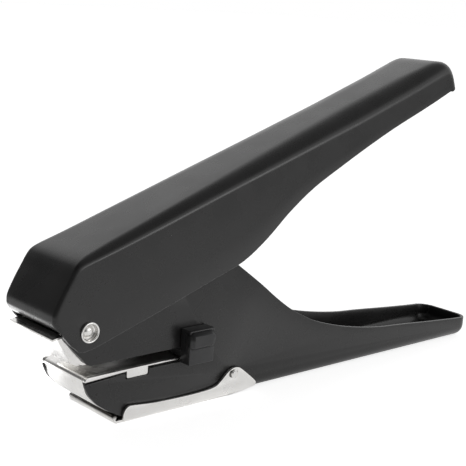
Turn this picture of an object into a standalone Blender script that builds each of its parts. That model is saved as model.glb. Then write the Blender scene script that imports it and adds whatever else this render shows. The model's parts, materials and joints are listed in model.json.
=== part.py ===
"""Single hole punch: two pressed-steel handles on one rivet, a sprung punch pin and a hinged chip tray.

Units are metres, +Z up. The punch stands on its lower handle, with its nose at -X, its grips at +X
and its paper guide's knob at -Y. The origin is on the flat underside of the lower handle.
Outlines are written about the pivot rivet, in the plane of the side plates, as (along, up).
"""

import bpy
import bmesh
from math import atan2, ceil, cos, hypot, pi, radians, sin
from mathutils import Matrix, Vector

# Whole object
FRAME_REACH = 0.1835
JAW_REACH = 0.0112
PIVOT_HEIGHT = 0.031
HANDLE_WIDTH = 0.027
RUN_GAP = 0.0003
CUT_OVERRUN = 0.002

# Upper handle
HANDLE_REACH = 0.174
HANDLE_TOP = 0.0206
HANDLE_SKIRT = 0.0066
HANDLE_NOSE = 0.0097
HANDLE_SHEET = 0.0015
HANDLE_OPEN_DEG = 20.0
SHOULDER_WIDTH = 0.009
SHOULDER_DEPTH = 0.0052
NOSE_CORNER_DEG = 75.0

# Pivot rivet and its spacer
RIVET_RADIUS = 0.0024
RIVET_HEAD_RADIUS = 0.0031
RIVET_HEAD_HEIGHT = 0.0006
RIVET_DISH_RADIUS = 0.002
RIVET_DISH_DEPTH = 0.0018
SLEEVE_WALL = 0.0014

# Lower handle and jaws
FRAME_SHEET = 0.0012
FRAME_EDGE_RADIUS = 0.0044
FRAME_CORNER_RADIUS = 0.0057
PIVOT_LOBE_RADIUS = 0.0075
FRAME_COVERED_TOP = 0.0166
JAW_HEIGHT = 0.011
JAW_CORNER_RADIUS = 0.0035
SLOT_HEIGHT = 0.0046
SLOT_REACH = 0.045
SLOT_FALL = 0.0008
LOWER_JAW_DEPTH = 0.0137
LOWER_JAW_SLOPE = 0.0145
WEB_START = 0.064
WEB_RELIEF_HEIGHT = 0.0054

# Guide bracket inside the upper jaw
BRACKET_SHEET = 0.0012
BRACKET_REACH = 0.037
BRACKET_TOP = 0.0115
BRACKET_BEND = 0.0016
BRACKET_DROP = 0.0008
BRACKET_LEAD = 0.0022
NOSE_FLANGE_THICK = 0.0006
NOSE_FLANGE_DEPTH = 0.0034
NOSE_FLANGE_FALL = 0.0006
BRACKET_PIN_RADIUS = 0.0015
BRACKET_PIN_ALONG = 0.033
BRACKET_PIN_UP = 0.0085

# Punch pin, its bush and its return spring
PUNCH_ALONG = 0.0225
PUNCH_RADIUS = 0.003
PUNCH_TOP = 0.0125
PUNCH_RECESS = 0.0004
PUNCH_NOTCH_DEPTH = 0.0012
BUSH_WALL = 0.001
BUSH_FLANGE_RADIUS = 0.006
BUSH_FLANGE_THICK = 0.0015
BUSH_HEIGHT = 0.0061
WASHER_RADIUS = 0.0046
WASHER_THICK = 0.0008
RING_WIDTH = 0.0018
RING_THICK = 0.0007
RING_GROOVE_DEPTH = 0.0005
RING_MOUTH = 0.0034
RING_DROP = 0.0024
SPRING_WIRE = 0.0009
SPRING_RADIUS = 0.0039
SPRING_TURNS = 5
SPRING_POINTS_A_TURN = 10

# Press bracket under the handle's top
PRESS_SHEET = 0.0012
PRESS_WIDTH = 0.0128
PRESS_TOP_LENGTH = 0.016
PRESS_FOOT_RADIUS = 0.003
PRESS_PIN_RADIUS = 0.0015
PRESS_PIN_STAND = 0.0008
PRESS_LEAD = 0.0012

# Die plate and die bush
DIE_SHEET = 0.0012
DIE_BEND = 0.0012
DIE_SETBACK = 0.001
DIE_TAB_LENGTH = 0.0078
DIE_TAB_DROP = 0.0031
DIE_TAB_ALONG = 0.0189
DIE_LIP_POINTS = 7
DIE_BUSH_WALL = 0.001
DIE_BUSH_FLANGE_RADIUS = 0.006
DIE_BUSH_FLANGE_THICK = 0.0024

# Chip tray
TRAY_SHEET = 0.0008
TRAY_EDGE_RADIUS = 0.0012
TRAY_GROUND_GAP = 0.0002
TRAY_FRONT = 0.0135
TRAY_EAR_HEIGHT = 0.0095
TRAY_FLOOR_END = 0.0545
TRAY_REAR = 0.0671
TRAY_LIP_ALONG = 0.0107
TRAY_LIP_HEIGHT = 0.0026
TRAY_LIP_SHEET = 0.0007
TRAY_LIP_ROLL = 0.0007
TRAY_HINGE_ALONG = 0.057
TRAY_HINGE_DROP = 0.0232
TRAY_SWING_RADIUS = 0.0061
PEG_RADIUS = 0.0009
PEG_HEAD_RADIUS = 0.0014
PEG_HEAD_HEIGHT = 0.0006

# Paper guide
GUIDE_REAR_GAP = 0.0004
GUIDE_LENGTH = 0.0098
GUIDE_BASE_DEPTH = 0.0046
GUIDE_KNOB_DEPTH = 0.0062
GUIDE_RISE = 0.0063
GUIDE_KNOB_HEIGHT = 0.0059
GUIDE_FAR_DEPTH = 0.002
GUIDE_CORNER = 0.0022
GUIDE_CHAMFER = 0.0009
GUIDE_EDGE = 0.0003

# Smoothness of round forms
ROUND_STEPS = 28
SMALL_ROUND_STEPS = 18
ARC_STEP_DEG = 18.0
WELD = 0.00001

# Worked out from the sizes above
FRAME_WIDTH = HANDLE_WIDTH - 2 * HANDLE_SHEET - 2 * RUN_GAP
FRAME_INNER = FRAME_WIDTH - 2 * FRAME_SHEET
BRACKET_WIDTH = FRAME_INNER - 2 * RUN_GAP
TRAY_WIDTH = FRAME_WIDTH + 2 * RUN_GAP + 2 * TRAY_SHEET
SLOT_FLOOR = -(JAW_HEIGHT + SLOT_HEIGHT)
DIE_UNDERSIDE = SLOT_FLOOR + RUN_GAP
DIE_TOP = DIE_UNDERSIDE + DIE_SHEET
BRACKET_UNDERSIDE = -(JAW_HEIGHT + BRACKET_DROP)
BUSH_BORE = PUNCH_RADIUS + RUN_GAP
PUNCH_TIP = BRACKET_UNDERSIDE + PUNCH_RECESS
NOSE_FLANGE_TOP = -RUN_GAP
PLATE_FOOT = SLOT_FLOOR - LOWER_JAW_DEPTH
GROUND = -PIVOT_HEIGHT
TRAY_UNDERSIDE = GROUND + TRAY_GROUND_GAP
GUIDE_ALONG = SLOT_REACH - GUIDE_REAR_GAP - GUIDE_LENGTH
PIVOT_PLACE = Vector((-(FRAME_REACH - JAW_REACH) / 2, 0, PIVOT_HEIGHT))
TRAY_HINGE = Vector((TRAY_HINGE_ALONG, 0, -TRAY_HINGE_DROP))
BUSH_TOP = BRACKET_UNDERSIDE + BRACKET_SHEET + RUN_GAP + BUSH_HEIGHT
RING_TOP = PUNCH_TOP - RING_DROP
PIN_WASHER_TOP = RING_TOP - RING_THICK - RUN_GAP
SEAT_WASHER_TOP = BUSH_TOP + RUN_GAP + WASHER_THICK

PARTS = "single_hole_punch"
CUTTERS = "cutters"


def clear_scene():
    """Remove what the file opened with."""
    for item in list(bpy.data.objects):
        bpy.data.objects.remove(item, do_unlink=True)


def collection(name):
    """A collection linked to the scene, made on first use."""
    found = bpy.data.collections.get(name)
    if found is None:
        found = bpy.data.collections.new(name)
        bpy.context.scene.collection.children.link(found)
    return found


def finish(name, colour, roughness, metallic):
    """A Principled BSDF material."""
    material = bpy.data.materials.new(name)
    material.use_nodes = True
    shader = material.node_tree.nodes["Principled BSDF"]
    shader.inputs["Base Color"].default_value = (*colour, 1)
    shader.inputs["Roughness"].default_value = roughness
    shader.inputs["Metallic"].default_value = metallic
    return material


def black_paint(name):
    return finish(name, (0.045, 0.045, 0.045), 0.35, 0)


def bright_steel(name):
    return finish(name, (0.72, 0.72, 0.71), 0.22, 1)


def plain_steel(name):
    return finish(name, (0.5, 0.5, 0.5), 0.35, 1)


def black_plastic(name):
    return finish(name, (0.03, 0.03, 0.032), 0.5, 0)


def empty(name, location, tilt=0):
    """An axis that moving pieces hang on, turned about +Y by tilt."""
    axis = bpy.data.objects.new(name, None)
    axis.location = location
    axis.rotation_euler = (0, tilt, 0)
    collection(PARTS).objects.link(axis)
    return axis


def place(name, mesh, material, parent, smooth_deg=35):
    """Put a mesh in the parts collection as one named piece."""
    piece = bpy.data.objects.new(name, mesh)
    mesh.materials.clear()
    mesh.materials.append(material(name))
    mesh.shade_smooth()
    mesh.set_sharp_from_angle(angle=radians(smooth_deg))
    piece.parent = parent
    collection(PARTS).objects.link(piece)
    return piece


def cutter(name, mesh, parent):
    """Put a mesh in the cutters collection, hidden from the build."""
    tool = bpy.data.objects.new(name, mesh)
    tool.parent = parent
    tool.hide_render = True
    tool.display_type = "WIRE"
    collection(CUTTERS).objects.link(tool)
    return tool


def boolean(piece, tool, operation="DIFFERENCE"):
    step = piece.modifiers.new(tool.name, "BOOLEAN")
    step.operation = operation
    step.solver = "EXACT"
    step.object = tool


def bevel(piece, width, segments, by_weight=False):
    """Round the sharp edges, or only those that carry a bevel weight."""
    step = piece.modifiers.new("rounding", "BEVEL")
    step.width = width
    step.segments = segments
    step.limit_method = "WEIGHT" if by_weight else "ANGLE"
    step.angle_limit = radians(60)
    step.use_clamp_overlap = False
    step.harden_normals = True


def even_shading(piece):
    """Keep flat faces flat in the shading, where holes and folds meet them."""
    step = piece.modifiers.new("even shading", "WEIGHTED_NORMAL")
    step.keep_sharp = True


def thicken(piece, sheet):
    step = piece.modifiers.new("sheet", "SOLIDIFY")
    step.thickness = sheet
    step.offset = -1
    step.use_even_offset = True


def arc(centre, radius, start_deg, end_deg):
    """Points of an arc, both ends included, one about every ARC_STEP_DEG."""
    count = max(2, ceil(abs(end_deg - start_deg) / ARC_STEP_DEG))
    points = []
    for step in range(count + 1):
        angle = radians(start_deg + (end_deg - start_deg) * step / count)
        points.append((centre[0] + radius * cos(angle), centre[1] + radius * sin(angle)))
    return points


def spline(knots, per_span):
    """A smooth curve through the knots (Catmull-Rom), per_span points to each span."""
    padded = [knots[0], *knots, knots[-1]]
    points = []
    for index in range(len(knots) - 1):
        before, start, end, after = padded[index:index + 4]
        for step in range(per_span):
            t = step / per_span
            points.append(tuple(
                (2 * s + (e - b) * t + (2 * b - 5 * s + 4 * e - a) * t ** 2
                 + (3 * s - b - 3 * e + a) * t ** 3) / 2
                for b, s, e, a in zip(before, start, end, after)))
    points.append(tuple(knots[-1]))
    return points


def scaled(shares, along, up):
    """Share pairs turned into points by the two sizes they follow."""
    return [(a * along, b * up) for a, b in shares]


def slab_mesh(name, outline, width, middle=0):
    """The outline extruded to width along Y, as a closed mesh about the middle."""
    curve = bpy.data.curves.new(name, "CURVE")
    curve.dimensions = "2D"
    curve.fill_mode = "BOTH"
    curve.extrude = width / 2
    path = curve.splines.new("POLY")
    path.points.add(len(outline) - 1)
    for point, (along, up) in zip(path.points, outline):
        point.co = (along, up, 0, 1)
    path.use_cyclic_u = True
    holder = bpy.data.objects.new(name, curve)
    holder.matrix_world = Matrix.Translation((0, middle, 0)) @ Matrix.Rotation(pi / 2, 4, "X")
    bpy.context.scene.collection.objects.link(holder)
    bpy.context.view_layer.update()
    graph = bpy.context.evaluated_depsgraph_get()
    mesh = bpy.data.meshes.new_from_object(holder.evaluated_get(graph))
    mesh.transform(holder.matrix_world)
    bpy.data.objects.remove(holder, do_unlink=True)
    shape = bmesh.new()
    shape.from_mesh(mesh)
    bmesh.ops.remove_doubles(shape, verts=shape.verts, dist=WELD)
    bmesh.ops.dissolve_limit(shape, angle_limit=radians(1), verts=shape.verts, edges=shape.edges)
    bmesh.ops.recalc_face_normals(shape, faces=shape.faces)
    shape.to_mesh(mesh)
    shape.free()
    return mesh


def open_slab(mesh, is_open):
    """Delete the narrow faces whose middle the test names, so that Solidify can make a channel."""
    shape = bmesh.new()
    shape.from_mesh(mesh)
    gone = []
    for face in shape.faces:
        middle = face.calc_center_median()
        if abs(face.normal.y) < cos(pi / 4) and is_open(middle.x, middle.z, face.normal):
            gone.append(face)
    bmesh.ops.delete(shape, geom=gone, context="FACES")
    shape.to_mesh(mesh)
    shape.free()


def box_mesh(low, high):
    mesh = bpy.data.meshes.new("box")
    shape = bmesh.new()
    bmesh.ops.create_cube(shape, size=1)
    for vertex in shape.verts:
        vertex.co = Vector(l + (h - l) * (c + 1 / 2) for l, h, c in zip(low, high, vertex.co))
    shape.to_mesh(mesh)
    shape.free()
    return mesh


def rod_mesh(radius, length, centre=(0, 0), steps=ROUND_STEPS):
    """A plain rod along Y about the middle plane."""
    mesh = bpy.data.meshes.new("rod")
    shape = bmesh.new()
    bmesh.ops.create_cone(shape, cap_ends=True, segments=steps, radius1=radius, radius2=radius,
                          depth=length)
    shape.to_mesh(mesh)
    shape.free()
    mesh.transform(Matrix.Translation((centre[0], 0, centre[1])) @ Matrix.Rotation(pi / 2, 4, "X"))
    return mesh


def turned(name, profile, closed, material, parent, location, tip=0, steps=ROUND_STEPS):
    """A turned piece: the (radius, height) profile screwed once round Z, then tipped about X."""
    mesh = bpy.data.meshes.new(name)
    edges = [(i, i + 1) for i in range(len(profile) - 1)]
    if closed:
        edges.append((len(profile) - 1, 0))
    mesh.from_pydata([(r, 0, h) for r, h in profile], edges, [])
    piece = bpy.data.objects.new(name, mesh)
    mesh.materials.append(material(name))
    step = piece.modifiers.new("turning", "SCREW")
    step.steps = steps
    step.render_steps = steps
    step.use_merge_vertices = True
    step.merge_threshold = WELD
    step.use_smooth_shade = True
    piece.parent = parent
    piece.location = location
    piece.rotation_euler = (tip, 0, 0)
    collection(PARTS).objects.link(piece)
    return piece


def heading(start, end):
    """The direction from one point to another, as a pair of length one."""
    length = hypot(end[0] - start[0], end[1] - start[1])
    return ((end[0] - start[0]) / length, (end[1] - start[1]) / length)


def strip(centre_line, sheet):
    """The closed outline of a folded strip: its centre line offset half a sheet to each side."""
    sides = ([], [])
    headings = [heading(start, end) for start, end in zip(centre_line, centre_line[1:])]
    for index, point in enumerate(centre_line):
        into = headings[max(index - 1, 0)]
        away = headings[min(index, len(headings) - 1)]
        mitre = (-(into[1] + away[1]), into[0] + away[0])
        scale = sheet / (mitre[0] ** 2 + mitre[1] ** 2)
        for side, sign in zip(sides, (1, -1)):
            side.append((point[0] + sign * scale * mitre[0], point[1] + sign * scale * mitre[1]))
    return sides[0] + sides[1][::-1]


def drill(piece, name, radius, length, centre, parent):
    """A round hole right across the piece, along Y."""
    boolean(piece, cutter(name, rod_mesh(radius, length, centre), parent))


def upright_rod_mesh(radius, low, high, along, steps=ROUND_STEPS):
    mesh = bpy.data.meshes.new("upright_rod")
    shape = bmesh.new()
    bmesh.ops.create_cone(shape, cap_ends=True, segments=steps, radius1=radius, radius2=radius,
                          depth=high - low)
    shape.to_mesh(mesh)
    shape.free()
    mesh.transform(Matrix.Translation((along, 0, (low + high) / 2)))
    return mesh


def handle_ribs():
    """The handle's ribs: for each, a top point, its inward normal, shoulder shares and an edge point.

    The handle's own axes are along its top line and up from it, about the pivot.
    """
    nose_shares = ((-0.902, 0.226), (-0.943, 0.257), (-0.974, 0.294), (-0.993, 0.335),
                   (-1.0, 0.379), (-0.969, 0.427), (-0.923, 0.478), (-0.835, 0.532),
                   (-0.691, 0.597), (-0.423, 0.709), (-0.119, 0.823), (0.119, 0.917),
                   (0.361, 0.978), (0.784, 1.0))
    top_shares = (0.09, 0.14, 0.2, 0.27, 0.34, 0.405, 0.47, 0.54, 0.62, 0.7, 0.78, 0.86, 0.91)
    rear_shares = ((0.945, 1.0), (0.967, 0.985), (0.982, 0.94), (0.991, 0.86), (0.996, 0.76),
                   (0.999, 0.62), (1.0, 0.44))
    nose_edge_shares = ((-0.845, 0.417), (-0.809, 0.288), (-0.773, 0.136), (-0.737, -0.015),
                        (-0.701, -0.136), (-0.649, -0.258), (-0.588, -0.409), (-0.526, -0.591),
                        (-0.411, -0.689), (-0.216, -0.773), (-0.02, -0.811), (0.196, -0.833),
                        (0.49, -0.848), (0.835, -0.856))
    edge_shares = ((0.09, -0.9), (0.15, -0.94), (0.25, -0.98), (0.325, -1.0), (0.352, -0.95),
                   (0.383, -0.76), (0.42, -0.45), (0.465, 0), (0.52, 0.43), (0.58, 0.67),
                   (0.68, 0.97), (0.79, 1.2), (0.88, 1.28), (0.94, 1.37), (0.966, 1.42))
    width_shares = ((0, 0.15), (0.02, 0.22), (0.058, 0.44), (0.17, 0.5), (0.35, 0.68),
                    (0.52, 0.88), (0.7, 1.0), (0.85, 0.95), (1.0, 0.6))
    depth_shares = ((0, 0.3), (0.02, 0.36), (0.058, 0.46), (0.17, 0.62), (0.35, 0.72),
                    (0.52, 0.86), (0.7, 1.0), (0.85, 1.0), (1.0, 0.9))
    tops = scaled(nose_shares, HANDLE_NOSE, HANDLE_TOP)
    tops += [(share * HANDLE_REACH, HANDLE_TOP) for share in top_shares]
    tops += scaled(rear_shares, HANDLE_REACH, HANDLE_TOP)
    edge_line = spline(scaled(edge_shares, HANDLE_REACH, HANDLE_SKIRT), 4)
    edges = scaled(nose_edge_shares, HANDLE_NOSE, HANDLE_SKIRT)
    foremost, rearmost = edge_line[0][0], edge_line[-1][0]
    behind_nose = tops[len(edges):]
    for index, top in enumerate(behind_nose):
        share = index / (len(behind_nose) - 1)
        along = min(max(top[0], foremost), rearmost - (1 - share) * SHOULDER_WIDTH)
        edges.append((along, height_at(edge_line, along)))
    ribs = []
    for index, (top, edge) in enumerate(zip(tops, edges)):
        ahead = heading(tops[max(index - 1, 0)], tops[min(index + 1, len(tops) - 1)])
        inward = (ahead[1], -ahead[0])
        if index == 0:
            inward = (cos(radians(NOSE_CORNER_DEG)), -sin(radians(NOSE_CORNER_DEG)))
        place_share = max(0, top[0] / HANDLE_REACH)
        wide = height_at(width_shares, place_share) * SHOULDER_WIDTH
        deep = height_at(depth_shares, place_share) * SHOULDER_DEPTH
        ribs.append((top, inward, wide, deep, edge))
    return ribs


def height_at(line, along):
    """The line's second value where its first is along, read straight between its points."""
    for (a0, b0), (a1, b1) in zip(line, line[1:]):
        if a0 <= along <= a1:
            return b0 + (b1 - b0) * (along - a0) / (a1 - a0)
    return line[-1][1] if along > line[-1][0] else line[0][1]


def handle_mesh():
    """Half of the handle's outer skin, lofted between unlike ribs and open at the middle plane."""
    shoulder_steps = 5
    side = HANDLE_WIDTH / 2
    rows = []
    for top, inward, wide, deep, edge in handle_ribs():
        row = [(edge[0], -side, edge[1])]
        for step in range(shoulder_steps + 1):
            angle = pi / 2 * step / shoulder_steps
            drop = deep * (1 - sin(angle))
            row.append((top[0] + drop * inward[0], -side + wide * (1 - cos(angle)),
                        top[1] + drop * inward[1]))
        row.append((top[0], 0, top[1]))
        rows.append(row)
    wide_count = len(rows[0])
    points = [point for row in rows for point in row]
    faces = []
    for i in range(len(rows) - 1):
        for j in range(wide_count - 1):
            a = i * wide_count + j
            faces.append((a, a + wide_count, a + wide_count + 1, a + 1))
    mesh = bpy.data.meshes.new("upper_handle")
    mesh.from_pydata(points, [], faces)
    return mesh


def upper_handle(axis):
    """Inverted channel of black sheet, its nose curled down and its rear end closed."""
    piece = place("upper_handle", handle_mesh(), black_paint, axis)
    step = piece.modifiers.new("far half", "MIRROR")
    step.use_axis = (False, True, False)
    step.merge_threshold = WELD
    step.use_clip = True
    thicken(piece, HANDLE_SHEET)
    drill(piece, "handle_pivot_cut", RIVET_RADIUS + RUN_GAP, HANDLE_WIDTH + CUT_OVERRUN, (0, 0), axis)
    even_shading(piece)


def press_place():
    """Where the press pin's centre sits in the handle's axes, over the punch pin's top."""
    along = PUNCH_ALONG - PRESS_LEAD
    up = PUNCH_TOP + RUN_GAP + PRESS_PIN_RADIUS
    tilt = radians(HANDLE_OPEN_DEG)
    return (along * cos(tilt) + up * sin(tilt), -along * sin(tilt) + up * cos(tilt))


def press_bracket(axis):
    """U of sheet welded under the handle's top, whose two cheeks carry the press pin."""
    foot = press_place()
    ceiling = HANDLE_TOP - HANDLE_SHEET - RUN_GAP
    half = PRESS_TOP_LENGTH / 2
    outline = arc(foot, PRESS_FOOT_RADIUS, 200, 340)
    outline += [(foot[0] + half, ceiling), (foot[0] - half, ceiling)]
    mesh = slab_mesh("press_bracket", outline, PRESS_WIDTH)
    open_slab(mesh, lambda along, up, normal: normal.z < cos(pi / 8))
    piece = place("press_bracket", mesh, plain_steel, axis)
    bevel(piece, PRESS_SHEET, 2)
    thicken(piece, PRESS_SHEET)
    drill(piece, "press_cut", PRESS_PIN_RADIUS + RUN_GAP, PRESS_WIDTH + CUT_OVERRUN, foot, axis)
    even_shading(piece)


def press_pin(axis):
    """Cross pin that bears on the punch pin's top, headed outside each cheek."""
    foot = press_place()
    end = PRESS_WIDTH / 2 + RUN_GAP + PRESS_PIN_STAND
    neck = PRESS_WIDTH / 2 + RUN_GAP
    head = PRESS_PIN_RADIUS + PRESS_PIN_STAND
    profile = [(0, end), (head, end), (head, neck), (PRESS_PIN_RADIUS, neck),
               (PRESS_PIN_RADIUS, -neck), (head, -neck), (head, -end), (0, -end)]
    turned("press_pin", profile, False, plain_steel, axis, (foot[0], 0, foot[1]), pi / 2,
           SMALL_ROUND_STEPS)


def pivot_rivet(axis):
    """Tubular rivet through both handles, its heads rolled over and dished."""
    seat = HANDLE_WIDTH / 2 + RUN_GAP
    end = seat + RIVET_HEAD_HEIGHT
    crown = (RIVET_HEAD_RADIUS + RIVET_DISH_RADIUS) / 2
    dish = end - RIVET_DISH_DEPTH
    roll = (RIVET_HEAD_RADIUS - RIVET_DISH_RADIUS) / 2
    half = [(0, dish), (RIVET_DISH_RADIUS * 3 / 4, dish + RIVET_DISH_DEPTH / 8),
            (RIVET_DISH_RADIUS, dish + RIVET_DISH_DEPTH / 2), *arc((crown, end - roll), roll, 180, 0),
            (RIVET_HEAD_RADIUS, seat), (RIVET_RADIUS, seat)]
    profile = half + [(r, -h) for r, h in reversed(half)]
    turned("pivot_rivet", profile, False, bright_steel, axis, (0, 0, 0), pi / 2)


def pivot_sleeve(axis):
    """Spacer tube on the rivet between the guide bracket's walls."""
    bore = RIVET_RADIUS + RUN_GAP
    outer = bore + SLEEVE_WALL
    half = BRACKET_WIDTH / 2 - BRACKET_SHEET - RUN_GAP
    profile = [(outer, half), (outer, -half), (bore, -half), (bore, half)]
    turned("pivot_sleeve", profile, True, plain_steel, axis, (0, 0, 0), pi / 2)


def jaw_front():
    """The lower jaw's front edge, from the throat slot down to the plate's foot."""
    shares = ((0.02, 0.12), (0.069, 0.234), (0.124, 0.343), (0.18, 0.416), (0.324, 0.577),
              (0.455, 0.679), (0.593, 0.774), (0.738, 0.861), (0.86, 0.93), (1.0, 1.0))
    slope = [(along, SLOT_FLOOR + up) for along, up in
             scaled(shares, LOWER_JAW_SLOPE, -LOWER_JAW_DEPTH)]
    return [(slope[0][0], SLOT_FLOOR - SLOT_FALL), *slope]


def frame_outline():
    """The lower handle's side plate: pivot lobe, both jaws, throat slot, base and rim."""
    rim_shares = ((1.0, -0.762), (0.98, -0.757), (0.96, -0.749), (0.921, -0.732),
                  (0.861, -0.703), (0.77, -0.655), (0.707, -0.626), (0.643, -0.571),
                  (0.583, -0.497), (0.524, -0.394), (0.487, -0.3), (0.449, -0.181),
                  (0.411, -0.026), (0.375, 0.139), (0.34, 0.29), (0.3125, 0.406))
    cover_shares = ((0.283, 0.93), (0.251, 1.0), (0.202, 0.97), (0.101, 0.72))
    lobe = arc((0, 0), PIVOT_LOBE_RADIUS, 90, 196)
    slope = atan2(JAW_HEIGHT - BRACKET_LEAD, PIVOT_LOBE_RADIUS - BRACKET_LEAD)
    corner = (JAW_CORNER_RADIUS - BRACKET_DROP, JAW_CORNER_RADIUS - JAW_HEIGHT)
    nose = arc(corner, JAW_CORNER_RADIUS, 180 + 90 - (slope * 180 / pi), 270)
    notch_low = SLOT_FLOOR - DIE_TAB_DROP + DIE_SHEET
    notch_half = DIE_TAB_LENGTH / 2 + RUN_GAP
    slot = [(SLOT_REACH, -JAW_HEIGHT), (SLOT_REACH, SLOT_FLOOR),
            (DIE_TAB_ALONG + notch_half, SLOT_FLOOR), (DIE_TAB_ALONG + notch_half, notch_low),
            (DIE_TAB_ALONG - notch_half, notch_low), (DIE_TAB_ALONG - notch_half, SLOT_FLOOR)]
    base = arc((TRAY_HINGE_ALONG, -TRAY_HINGE_DROP), TRAY_SWING_RADIUS, 270, 336)
    base += [(WEB_START, GROUND + WEB_RELIEF_HEIGHT), (WEB_START, GROUND), (FRAME_REACH, GROUND)]
    rim = spline(scaled(rim_shares, FRAME_REACH, PIVOT_HEIGHT), 2)
    cover = scaled(cover_shares, FRAME_REACH, FRAME_COVERED_TOP)
    return lobe + nose + slot + jaw_front() + base + rim + cover


def lower_frame(axis):
    """Upright channel of black sheet: lower grip, both jaws' side plates and a rounded rear end."""
    mesh = slab_mesh("lower_frame", frame_outline(), FRAME_WIDTH)

    def is_open(along, up, normal):
        behind = along > WEB_START and normal.z < cos(pi * 3 / 8)
        return not (behind and up < -JAW_HEIGHT and (normal.z < 0 or normal.x > cos(pi / 8)))

    open_slab(mesh, is_open)
    weights = mesh.attributes.new("bevel_weight_edge", "FLOAT", "EDGE")
    for edge in mesh.edges:
        ends = [mesh.vertices[index].co for index in edge.vertices]
        if min(end.x for end in ends) > FRAME_REACH - WELD and ends[0].y * ends[1].y > 0:
            weights.data[edge.index].value = 1
    piece = place("lower_frame", mesh, black_paint, axis)
    bevel(piece, FRAME_CORNER_RADIUS, 6, True)
    bevel(piece, FRAME_EDGE_RADIUS, 5)
    thicken(piece, FRAME_SHEET)
    across = FRAME_WIDTH + CUT_OVERRUN
    drill(piece, "frame_pivot_cut", RIVET_RADIUS + RUN_GAP, across, (0, 0), axis)
    drill(piece, "frame_pin_cut", BRACKET_PIN_RADIUS + RUN_GAP, across,
          (BRACKET_PIN_ALONG, BRACKET_PIN_UP), axis)
    drill(piece, "frame_peg_cut", PEG_RADIUS + RUN_GAP, across,
          (TRAY_HINGE_ALONG, -TRAY_HINGE_DROP), axis)
    even_shading(piece)


def guide_bracket(axis):
    """Bright folded bracket inside the upper jaw, with a flange that reaches out under the nose."""
    lead = PIVOT_LOBE_RADIUS + BRACKET_LEAD / 2
    toe = (0, BRACKET_UNDERSIDE)
    flange_back = -JAW_REACH + NOSE_FLANGE_DEPTH
    flange_front_top = NOSE_FLANGE_TOP - NOSE_FLANGE_FALL
    flange_line = [(flange_back, NOSE_FLANGE_TOP), (flange_back, NOSE_FLANGE_TOP - NOSE_FLANGE_THICK),
                   (-JAW_REACH, flange_front_top - NOSE_FLANGE_THICK), (-JAW_REACH, flange_front_top)]
    brow = (-lead, NOSE_FLANGE_TOP - NOSE_FLANGE_THICK)
    outline = [brow, (toe[0] - BRACKET_BEND * 2, toe[1] + BRACKET_BEND), toe,
               (BRACKET_REACH - BRACKET_BEND, toe[1]), (BRACKET_REACH, toe[1] + BRACKET_BEND),
               (BRACKET_REACH, BRACKET_TOP), (BRACKET_REACH / 2, BRACKET_TOP),
               (0, PIVOT_LOBE_RADIUS - BRACKET_SHEET), (-lead / 2, PIVOT_LOBE_RADIUS / 2)]
    mesh = slab_mesh("guide_bracket", outline, BRACKET_WIDTH)
    open_slab(mesh, lambda along, up, normal: normal.z > cos(pi * 3 / 8) or up > BRACKET_TOP / 8)
    piece = place("guide_bracket", mesh, bright_steel, axis)
    bevel(piece, BRACKET_BEND, 3)
    thicken(piece, BRACKET_SHEET)
    flange = slab_mesh("nose_flange", flange_line, FRAME_WIDTH)
    boolean(piece, cutter("nose_flange", flange, axis), "UNION")
    across = BRACKET_WIDTH + CUT_OVERRUN
    drill(piece, "bracket_pivot_cut", RIVET_RADIUS + RUN_GAP, across, (0, 0), axis)
    drill(piece, "bracket_pin_cut", BRACKET_PIN_RADIUS + RUN_GAP, across,
          (BRACKET_PIN_ALONG, BRACKET_PIN_UP), axis)
    hole = upright_rod_mesh(BUSH_BORE + BUSH_WALL + RUN_GAP, BRACKET_UNDERSIDE - CUT_OVERRUN,
                            BRACKET_UNDERSIDE + CUT_OVERRUN, PUNCH_ALONG)
    boolean(piece, cutter("bracket_bush_cut", hole, axis))
    even_shading(piece)


def bracket_pin(axis):
    """Cross pin that ties the guide bracket's rear to the frame, flush with its plates."""
    half = FRAME_WIDTH / 2
    profile = [(0, half), (BRACKET_PIN_RADIUS, half), (BRACKET_PIN_RADIUS, -half), (0, -half)]
    turned("bracket_pin", profile, False, plain_steel, axis,
           (BRACKET_PIN_ALONG, 0, BRACKET_PIN_UP), pi / 2, SMALL_ROUND_STEPS)


def guide_bush(axis):
    """Turned bush that guides the punch pin, its spigot in the bracket's floor."""
    low = BRACKET_UNDERSIDE
    seat = BRACKET_UNDERSIDE + BRACKET_SHEET + RUN_GAP
    outer = BUSH_BORE + BUSH_WALL
    profile = [(BUSH_BORE, BUSH_TOP), (outer, BUSH_TOP), (outer, seat + BUSH_FLANGE_THICK),
               (BUSH_FLANGE_RADIUS, seat + BUSH_FLANGE_THICK), (BUSH_FLANGE_RADIUS, seat),
               (outer, seat), (outer, low), (BUSH_BORE, low)]
    turned("guide_bush", profile, True, plain_steel, axis, (PUNCH_ALONG, 0, 0))


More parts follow.
